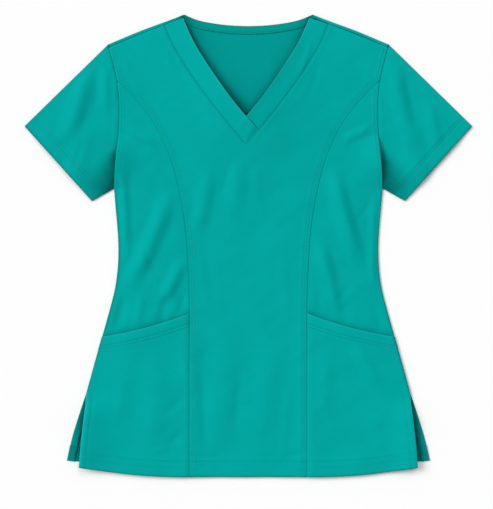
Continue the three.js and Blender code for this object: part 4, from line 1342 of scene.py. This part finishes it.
class Nodes:
    """Short calls for building one material's node tree."""

    def __init__(self, name):
        self.material = bpy.data.materials.new(name)
        self.material.use_nodes = True
        self.tree = self.material.node_tree
        self.shader = self.tree.nodes["Principled BSDF"]

    def add(self, kind, **settings):
        node = self.tree.nodes.new(kind)
        for key, value in settings.items():
            setattr(node, key, value)
        return node

    def link(self, source, target):
        self.tree.links.new(source, target)

    def feed(self, socket, value):
        """Gives a socket a value of its own, or links another node's output to it."""
        if isinstance(value, bpy.types.NodeSocket):
            self.link(value, socket)
        elif value is not None:
            socket.default_value = value

    def fill(self, node, **values):
        """Feeds sockets by their names, with _ for a space."""
        for name, value in values.items():
            self.feed(node.inputs[name.replace("_", " ")], value)

    def math(self, operation, a, b=None):
        node = self.add("ShaderNodeMath", operation=operation)
        for socket, value in zip(node.inputs, (a, b)):
            self.feed(socket, value)
        return node.outputs[0]

    def colour_mix(self, factor, a, b):
        node = self.add("ShaderNodeMix", data_type="RGBA")
        for index, value in zip((0, 6, 7), (factor, a, b)):
            self.feed(node.inputs[index], value)
        return node.outputs[2]

    def noise(self, vector, scale, detail):
        node = self.add("ShaderNodeTexNoise", noise_dimensions="2D")
        self.fill(node, Vector=vector, Scale=scale, Detail=detail)
        return node.outputs[0]

    def bump(self, height, strength, distance):
        """Raises the surface by a height."""
        node = self.add("ShaderNodeBump")
        self.fill(node, Height=height, Strength=strength, Distance=distance)
        self.link(node.outputs[0], self.shader.inputs["Normal"])


def scaled(colour, factor):
    """A colour made lighter or darker, with its alpha."""
    return (colour[0] * factor, colour[1] * factor, colour[2] * factor, 1.0)


def cloth_material(name, finish, colour, inside=False):
    """Plain-woven cotton and polyester: fine threads over and under, slight slubs, faint rubbed wear with
    painted highlights on folded edges, and painted shade in creases, seams and round the outline. Inside the
    garment painted shade also darkens the deep places."""
    nodes = Nodes(name)
    pattern = nodes.add("ShaderNodeUVMap", uv_map="pattern").outputs[0]
    split = nodes.add("ShaderNodeSeparateXYZ")
    nodes.link(pattern, split.inputs[0])
    turns = math.pi / finish.thread_pitch
    warp, weft = (nodes.math("SINE", nodes.math("MULTIPLY", split.outputs[i], turns)) for i in (0, 1))
    crossing = nodes.math("ABSOLUTE", nodes.math("MULTIPLY", warp, weft))
    weave = nodes.math("POWER", crossing, 0.6)

    def streaks(scale):
        """Noise drawn out along one set of threads."""
        stretch = nodes.add("ShaderNodeMapping")
        nodes.fill(stretch, Vector=pattern, Scale=scale)
        return nodes.noise(stretch.outputs[0], 1.0, 2.0)

    slubs = nodes.math("ADD", streaks((SLUB_FINE, SLUB_LONG, 1)), streaks((SLUB_LONG, SLUB_FINE, 1)))
    mottle = nodes.noise(pattern, 26.0, 4.0)
    factor = 0.5
    for part, middle, strength in (
        (slubs, 1.0, finish.slub), (mottle, 0.5, finish.mottle), (weave, 0.6, 0.16),
    ):
        off = nodes.math("MULTIPLY", nodes.math("SUBTRACT", part, middle), strength)
        factor = nodes.math("ADD", off, factor)
    base = nodes.colour_mix(factor, scaled(colour, 0.8), scaled(colour, 1.2))

    wear_and_painted_light = nodes.add("ShaderNodeAttribute", attribute_name="wear_and_painted_light").outputs["Fac"]
    # The wrong side also takes the painted shade of the deep places
    if inside:
        shade = nodes.add("ShaderNodeAttribute", attribute_name="shade").outputs["Fac"]
        wear_and_painted_light = nodes.math("MINIMUM", wear_and_painted_light, shade)
    uneven = nodes.math("MULTIPLY", wear_and_painted_light, nodes.math("ADD", mottle, 0.5))
    # Rubbed wear with painted highlights mixes towards the worn colour; painted shade mixes towards a darker
    # colour
    for direction, strength, tint in (
        (1.0, finish.wear_and_painted_light, tuple(finish.worn_and_highlight_colour) + (1.0,)),
        (-1.0, finish.crease_shade, scaled(colour, 0.25)),
    ):
        above = nodes.math("MAXIMUM", nodes.math("MULTIPLY", uneven, direction), 0.0)
        base = nodes.colour_mix(nodes.math("MULTIPLY", above, strength), base, tint)

    roughness = nodes.math("ADD", nodes.math("MULTIPLY", mottle, 0.08), finish.roughness - 0.04)
    nodes.fill(
        nodes.shader, Base_Color=base, Roughness=roughness, Specular_IOR_Level=finish.specular,
        Sheen_Weight=finish.sheen, Sheen_Roughness=0.45, Sheen_Tint=tuple(finish.sheen_colour) + (1.0,),
    )
    height = nodes.math("ADD", weave, nodes.math("MULTIPLY", slubs, 0.35))
    nodes.bump(height, finish.weave_strength, finish.thread_pitch * 0.3)
    return nodes.material


def thread_material(finish):
    """Spun thread: a darker shade of the cloth's colour, with a fine twist."""
    nodes = Nodes("sewing thread")
    place = nodes.add("ShaderNodeTexCoord")
    twist = nodes.add("ShaderNodeTexWave", wave_type="BANDS", bands_direction="DIAGONAL")
    nodes.fill(twist, Vector=place.outputs["Object"], Scale=1800.0, Distortion=1.5)
    turn = twist.outputs["Fac"]
    base = nodes.colour_mix(turn, scaled(finish.thread_colour, 0.85), scaled(finish.thread_colour, 1.1))
    nodes.fill(nodes.shader, Base_Color=base, Roughness=0.55, Specular_IOR_Level=0.25)
    nodes.bump(turn, 0.3, 0.00004)
    return nodes.material


def floor_material(studio):
    """A plain matt floor with the faintest grain."""
    nodes = Nodes("pale floor")
    place = nodes.add("ShaderNodeTexCoord")
    grain = nodes.add("ShaderNodeTexNoise")
    nodes.fill(grain, Vector=place.outputs["Object"], Scale=40.0)
    darker, lighter = (scaled(studio.floor_colour, factor) for factor in (0.995, 1.0))
    base = nodes.colour_mix(grain.outputs[0], darker, lighter)
    nodes.fill(nodes.shader, Base_Color=base, Roughness=0.9, Specular_IOR_Level=0.1)
    return nodes.material


def find_material(name, build):
    """The material of a name, built when there is none yet."""
    return bpy.data.materials.get(name) or build()


def cloth(name, finish, colour, inside=False):
    """The cloth material of a name, made when it is first asked for."""
    return find_material(name, lambda: cloth_material(name, finish, colour, inside))


def both_sides(finish):
    """The cloth's right side and its wrong side, which is duller and also darker as painted shade."""
    wrong_side = tuple(finish.cloth_colour * finish.inside)
    return (
        cloth("scrub cloth", finish, finish.cloth_colour),
        cloth("scrub cloth inside", finish, wrong_side, inside=True),
    )


def strip_sides(finish):
    """The cloth of the strip inside the back of the neck, the same on both sides."""
    return (cloth("neck strip", finish, finish.strip_colour, inside=True),) * 2


def sewing_thread(finish):
    """The thread's material."""
    return find_material("sewing thread", lambda: thread_material(finish))


# What a user would change

class SewingSizes(bpy.types.PropertyGroup):
    """The sizes of the cloth's edges, seams and stitches"""

    cloth_thickness: FloatProperty(
        name="Cloth thickness", description="Thickness of one layer of cloth",
        default=0.00036, unit="LENGTH",
    )
    fold_radius: FloatProperty(
        name="Hem fold", description="Radius of the turned hems, cuffs and vents",
        default=0.0005, unit="LENGTH",
    )
    seam_radius: FloatProperty(
        name="Seam fold", description="Radius of the upper cloth's edge at a seam",
        default=0.0004, unit="LENGTH",
    )
    side_radius: FloatProperty(
        name="Side roll", description="Radius of the cloth where it goes over the side seam",
        default=0.0006, unit="LENGTH",
    )
    band_radius: FloatProperty(
        name="Band fold", description="Radius of the neck bands' folded edge",
        default=0.00052, unit="LENGTH",
    )
    shoulder_roll: FloatProperty(
        name="Shoulder roll", description="Radius of the pressed shoulder and sleeve folds",
        default=0.00135, unit="LENGTH",
    )
    seam_raise: FloatProperty(
        name="Seam height", description="How far the allowances raise the cloth beside a seam",
        default=0.00035, unit="LENGTH",
    )
    seam_dip: FloatProperty(
        name="Seam dip", description="How far the cloth dips in at a seam",
        default=0.0009, unit="LENGTH",
    )
    stitch_sink: FloatProperty(
        name="Stitch sink", description="How deep a row of stitches pulls the cloth in",
        default=0.0004, unit="LENGTH",
    )
    pucker: FloatProperty(
        name="Pucker", description="Height of the waves that sewing draws along a seam",
        default=0.00024, unit="LENGTH",
    )
    stitch_pitch: FloatProperty(
        name="Stitch pitch", description="From one stitch to the next",
        default=0.0036, unit="LENGTH",
    )
    stitch_length: FloatProperty(
        name="Stitch length", description="Length of a stitch that shows",
        default=0.0026, unit="LENGTH",
    )
    thread_width: FloatProperty(
        name="Thread width", description="Width of the sewing thread",
        default=0.00048, unit="LENGTH",
    )


class ClothFinish(bpy.types.PropertyGroup):
    """The colours and the finish of the cloth and its thread"""

    cloth_colour: FloatVectorProperty(
        name="Cloth", description="Colour of the cloth",
        default=(0.0004, 0.358, 0.335), subtype="COLOR",
    )
    strip_colour: FloatVectorProperty(
        name="Neck strip", description="Colour of the strip inside the back of the neck",
        default=(0.0006, 0.300, 0.262), subtype="COLOR",
    )
    # The wrong side is duller cloth, and also darker as painted shade for the inside of the garment
    inside: FloatProperty(
        name="Wrong side", description="Brightness of the cloth's wrong side against its right side",
        default=0.84,
    )
    # Colour of rubbed edges and of the painted highlights along the bands, pocket mouths and armholes
    worn_and_highlight_colour: FloatVectorProperty(
        name="Worn cloth", description="Colour of rubbed edges",
        default=(0.03, 0.47, 0.44), subtype="COLOR",
    )
    sheen_colour: FloatVectorProperty(
        name="Sheen", description="Tint of the cloth's sheen",
        default=(0.02, 0.6, 0.57), subtype="COLOR",
    )
    thread_colour: FloatVectorProperty(
        name="Thread", description="Colour of the sewing thread",
        default=(0.001, 0.25, 0.23), subtype="COLOR",
    )
    thread_pitch: FloatProperty(
        name="Weave pitch", description="From one thread of the weave to the next",
        default=0.00042, unit="LENGTH",
    )
    slub: FloatProperty(name="Slubs", description="How far uneven yarns change the shade", default=0.22)
    mottle: FloatProperty(name="Mottling", description="How far the dye varies", default=0.16)
    # Strength of rubbed wear together with the painted highlights on folded edges
    wear_and_painted_light: FloatProperty(name="Wear", description="How far folded edges are rubbed", default=0.5)
    # Strength of the painted shade in seams, creases, rims and deep places
    crease_shade: FloatProperty(name="Crease", description="How much darker the cloth is in its seams", default=0.6)
    roughness: FloatProperty(name="Roughness", description="Roughness of the cloth", default=0.84)
    specular: FloatProperty(name="Gloss", description="Strength of the cloth's reflections", default=0.02)
    sheen: FloatProperty(name="Sheen weight", description="Strength of the cloth's sheen", default=0.12)
    weave_strength: FloatProperty(
        name="Weave relief", description="Strength of the weave's relief",
        default=0.3,
    )


class StudioSettings(bpy.types.PropertyGroup):
    """The floor, the lights and the camera"""

    floor_colour: FloatVectorProperty(
        name="Floor", description="Colour of the floor",
        default=(0.948, 0.948, 0.948), subtype="COLOR",
    )
    surround: FloatProperty(name="Surround", description="Strength of the light from all round", default=0.41)
    key: FloatProperty(name="Key light", description="Strength of the soft light from the left", default=2.1)
    top: FloatProperty(name="Top light", description="Strength of the soft light from the top", default=0.75)
    light_spread: FloatProperty(
        name="Light spread", description="How wide the two lights are",
        default=math.radians(34), subtype="ANGLE",
    )
    camera_height: FloatProperty(
        name="Camera height", description="From the table to the camera",
        default=2.0207, unit="LENGTH",
    )
    camera_lens: FloatProperty(name="Lens", description="Focal length in millimetres", default=100.0)
    view_x: FloatProperty(
        name="View across", description="Where the camera looks, across the garment",
        default=-0.0026, unit="LENGTH",
    )
    view_y: FloatProperty(
        name="View along", description="Where the camera looks, along the garment",
        default=-0.0128, unit="LENGTH",
    )


# The pieces

class ScrubPiece(bpy.types.Operator):
    """Builds one piece of the scrub top"""

    bl_idname = "scrub.piece"
    bl_label = "Piece"
    bl_options = {"INTERNAL"}

    def execute(self, context):
        self.build(context.scene.scrub_sizes, context.scene.scrub_finish)
        return {"FINISHED"}

    def build(self, sizes, finish):
        raise NotImplementedError


class BackPanel(ScrubPiece):
    """The back, flat on the table, with its hem, vents and rolled shoulder edges"""

    bl_idname = "scrub.back"
    bl_label = "Back"

    def build(self, sizes, finish):
        patches = [back_patch(side, sizes) for side, _ in SIDES]
        sewn_piece("back_panel", "back", patches, [], sizes, both_sides(finish), face_up=False)


class FrontCentre(ScrubPiece):
    """The middle of the front, from the shoulders to the hem"""

    bl_idname = "scrub.front_centre"
    bl_label = "Front, middle"

    def build(self, sizes, finish):
        patches = [front_centre_patch(side, sizes) for side, _ in SIDES]
        sewn_piece("front_middle", "front_centre", patches, ["back_panel"], sizes, both_sides(finish))


class FrontSides(ScrubPiece):
    """The two shaped side panels of the front"""

    bl_idname = "scrub.front_sides"
    bl_label = "Front, sides"

    def build(self, sizes, finish):
        for side, word in SIDES:
            patches = [side_patch(side, sizes)]
            name, node = f"front_panel_{word}", f"front_side_{word}"
            sewn_piece(name, node, patches, ["back_panel"], sizes, both_sides(finish))


class Pockets(ScrubPiece):
    """The two patch pockets with their slanting turned mouths"""

    bl_idname = "scrub.pockets"
    bl_label = "Pockets"

    def build(self, sizes, finish):
        for side, word in SIDES:
            patches = [side_patch(side, sizes, pocket=True)]
            name, node, under = f"patch_pocket_{word}", f"pocket_{word}", f"front_panel_{word}"
            sewn_piece(name, node, patches, [under], sizes, both_sides(finish))


class Sleeves(ScrubPiece):
    """The two short sleeves, each a tube pressed flat"""

    bl_idname = "scrub.sleeves"
    bl_label = "Sleeves"

    def build(self, sizes, finish):
        slant = math.atan2(CUFF_TIP[0] - CUFF_CORNER[0], CUFF_CORNER[1] - CUFF_TIP[1])
        for side, word in SIDES:
            patches = sleeve_patches(side, sizes)
            name, node = f"short_sleeve_{word}", f"sleeve_{word}"
            sewn_piece(name, node, patches, [], sizes, both_sides(finish), grain=-side * slant)


class NeckBands(ScrubPiece):
    """The two bands along the V, the left one over the right one"""

    bl_idname = "scrub.neck_bands"
    bl_label = "Neck bands"

    def build(self, sizes, finish):
        for side, word in SIDES:
            patches = [band_patch(side, sizes)]
            name, node = f"v_band_{word}", f"neck_band_{word}"
            sewn_piece(name, node, patches, ["back_panel"], sizes, both_sides(finish))


class NeckFacing(ScrubPiece):
    """The narrow strip inside the back of the neck"""

    bl_idname = "scrub.neck_facing"
    bl_label = "Neck facing"

    def build(self, sizes, finish):
        patches = [facing_patch(sizes)]
        sewn_piece("back_neck_strip", "neck_facing", patches, ["back_panel"], sizes, strip_sides(finish))


class Stitching(ScrubPiece):
    """Every row of stitches that shows"""

    bl_idname = "scrub.stitching"
    bl_label = "Stitching"

    def build(self, sizes, finish):
        thread = sewing_thread(finish)
        for sew in (self.front, self.sides, self.sleeves, self.neck, self.back):
            sew(sizes, thread)

    def front(self, sizes, thread):
        def face(x, down):
            return front_centre_face(x, down, sizes)

        runs = []
        for side, _ in SIDES:
            runs += rows_beside(line_of(PRINCESS_SEAM, side, end=LENGTH - 1), side, TOPSTITCH, face)
            armhole = line_of(ARMHOLE, side, start=49.0, end=96.0)
            runs += rows_beside(armhole, side, ARMHOLE_STITCH, face)
            band = line_of(BAND_SEAM, side, NECK_SHIFT, start=17.0, end=184.0)
            runs += rows_beside(band, -side, [offset + SEAM_GAP for offset in BAND_STITCH], face)
        for offset in HEM_STITCH:
            hem = np.column_stack([np.linspace(-82.5, 82.5, 60), np.full(60, LENGTH - offset)])
            runs.append((hem, face, 1))
        stitching("stitches_front", runs, sizes, thread)

    def sides(self, sizes, thread):
        def panel(x, down):
            return side_face(x, down, sizes)

        runs = []
        for side, _ in SIDES:
            def pocket(x, down, side=side):
                return pocket_face(x, down, side, sizes)

            armhole = line_of(ARMHOLE, side, start=108.0, end=246.0)
            runs += rows_beside(armhole, side, ARMHOLE_STITCH, panel)
            levels = [SECTIONS[POCKET_SECTION, MIDDLE] + offset for offset in POCKET_STITCH]
            levels += [LENGTH - offset for offset in HEM_STITCH]
            runs += [(side_line(side, section_at(level)), pocket, 1) for level in levels]
            vent = line_of(FRONT_VENT, side, start=VENT_TOP + 2, end=643.0)
            runs += rows_beside(vent, side, VENT_STITCH, pocket)
        stitching("stitches_sides_pockets", runs, sizes, thread)

    def sleeves(self, sizes, thread):
        def face(x, down):
            return sewn_sleeve_face(x, down, sizes)

        def underside(x, down):
            return np.full(np.shape(x), 0.2)

        runs = []
        for side, _ in SIDES:
            line = cuff_line(side)
            long = np.linspace(0.01, 0.985, 50)[:, None]
            for offset in CUFF_STITCH:
                row = beside(mix(line[0], line[1], long), side * offset)
                runs += [(row, face, 1), (row, underside, -1)]
        stitching("stitches_sleeves", runs, sizes, thread)

    def neck(self, sizes, thread):
        strip = np.linspace(-80, 77, 60)
        low = np.column_stack([strip, smooth(BACK_NECK, np.abs(strip)) + FACING_WIDTH - FACING_STITCH])
        runs = [(low, lambda x, down: facing_face(x, down, sizes), 1)]
        roll = 2 * sizes.shoulder_roll / MM
        for side, _ in SIDES:
            out = np.linspace(98, 197, 40)
            row = np.column_stack([side * out, smooth(SHOULDER_EDGE, out) + 2.2])
            runs.append((row, lambda x, down: np.full(np.shape(x), roll - 0.05), 1))
        stitching("stitches_neck_shoulders", runs, sizes, thread)

    def back(self, sizes, thread):
        def face(x, down):
            return back_lift(x, down, sizes) + 0.02

        def inside(x, down):
            return back_lift(x, down, sizes) + 2 * sizes.fold_radius / MM

        hem = back_hem_line()
        runs = []
        for offset in HEM_STITCH:
            half = hem - [0, offset]
            half[:, 0] *= 1 - 0.0009 * offset
            whole = np.vstack([half[:0:-1] * [-1, 1], half])
            runs += [(whole, face, -1), (whole, inside, 1)]
        for side, _ in SIDES:
            vent = line_of(BACK_VENT, side, start=VENT_TOP + 2, end=634.0)
            for offset in VENT_STITCH:
                row = beside(vent, side * offset)
                runs += [(row, face, -1), (row, inside, 1)]
        stitching("stitches_back", runs, sizes, thread)


class Stage(bpy.types.Operator):
    """The floor, the soft lights and the camera above"""

    bl_idname = "scrub.stage"
    bl_label = "Stage"

    def execute(self, context):
        scene = context.scene
        studio = scene.scrub_studio
        bpy.ops.object.select_all(action="DESELECT")
        bpy.ops.mesh.primitive_plane_add(size=12, location=(0, 0, -0.0003))
        floor = context.object
        floor.name = "floor"
        bpy.ops.object.transform_apply(location=True, rotation=True, scale=True)
        floor.data.materials.append(floor_material(studio))
        floor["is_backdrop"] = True

        world = bpy.data.worlds.new("studio")
        scene.world = world
        world.use_nodes = True
        background = world.node_tree.nodes["Background"]
        background.inputs["Color"].default_value = (1, 1, 1, 1)
        background.inputs["Strength"].default_value = studio.surround

        for name, place, strength in (
            ("key_light", (-1.0, 0.45, 1.0), studio.key),
            ("top_light", (0.2, 1.0, 1.3), studio.top),
        ):
            bpy.ops.object.light_add(type="SUN", location=place)
            light = context.object
            light.name = name
            light.data.energy = strength
            light.data.angle = studio.light_spread
            light.rotation_euler = (-light.location).to_track_quat("-Z", "Y").to_euler()

        above = (studio.view_x, studio.view_y, studio.camera_height)
        bpy.ops.object.camera_add(location=above, rotation=(0, 0, 0))
        camera = context.object
        camera.name = "camera"
        camera.data.lens = studio.camera_lens
        camera.data.sensor_width = 36
        scene.camera = camera
        scene.view_settings.view_transform = "Standard"
        scene.view_settings.look = "None"
        return {"FINISHED"}


class ScrubPanel(bpy.types.Panel):
    """Lists the pieces and what can be changed on them"""

    bl_idname = "VIEW3D_PT_scrub_top"
    bl_label = "Scrub Top"
    bl_space_type = "VIEW_3D"
    bl_region_type = "UI"
    bl_category = "Scrub Top"

    def draw(self, context):
        for operator in BUILDERS:
            self.layout.operator(operator.bl_idname)
        for group in (context.scene.scrub_sizes, context.scene.scrub_finish, context.scene.scrub_studio):
            box = self.layout.box()
            for name in group.__annotations__:
                box.prop(group, name)


BUILDERS = (Stage, BackPanel, FrontCentre, FrontSides, Pockets, Sleeves, NeckBands, NeckFacing, Stitching)
CLASSES = (SewingSizes, ClothFinish, StudioSettings) + BUILDERS + (ScrubPanel,)


def register():
    for item in CLASSES:
        bpy.utils.register_class(item)
    bpy.types.Scene.scrub_sizes = PointerProperty(type=SewingSizes)
    bpy.types.Scene.scrub_finish = PointerProperty(type=ClothFinish)
    bpy.types.Scene.scrub_studio = PointerProperty(type=StudioSettings)


def unregister():
    del bpy.types.Scene.scrub_studio
    del bpy.types.Scene.scrub_finish
    del bpy.types.Scene.scrub_sizes
    for item in reversed(CLASSES):
        bpy.utils.unregister_class(item)


def corners(bounds):
    """A box's two corners as plain lists."""
    return [[float(value) for value in corner] for corner in bounds]


def main():
    packed = corners(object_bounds())
    register()
    for operator in BUILDERS:
        group, name = operator.bl_idname.split(".")
        getattr(getattr(bpy.ops, group), name)()
    {"cad": packed, "visual": corners(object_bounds())}


if __name__ == "__main__":
    main()
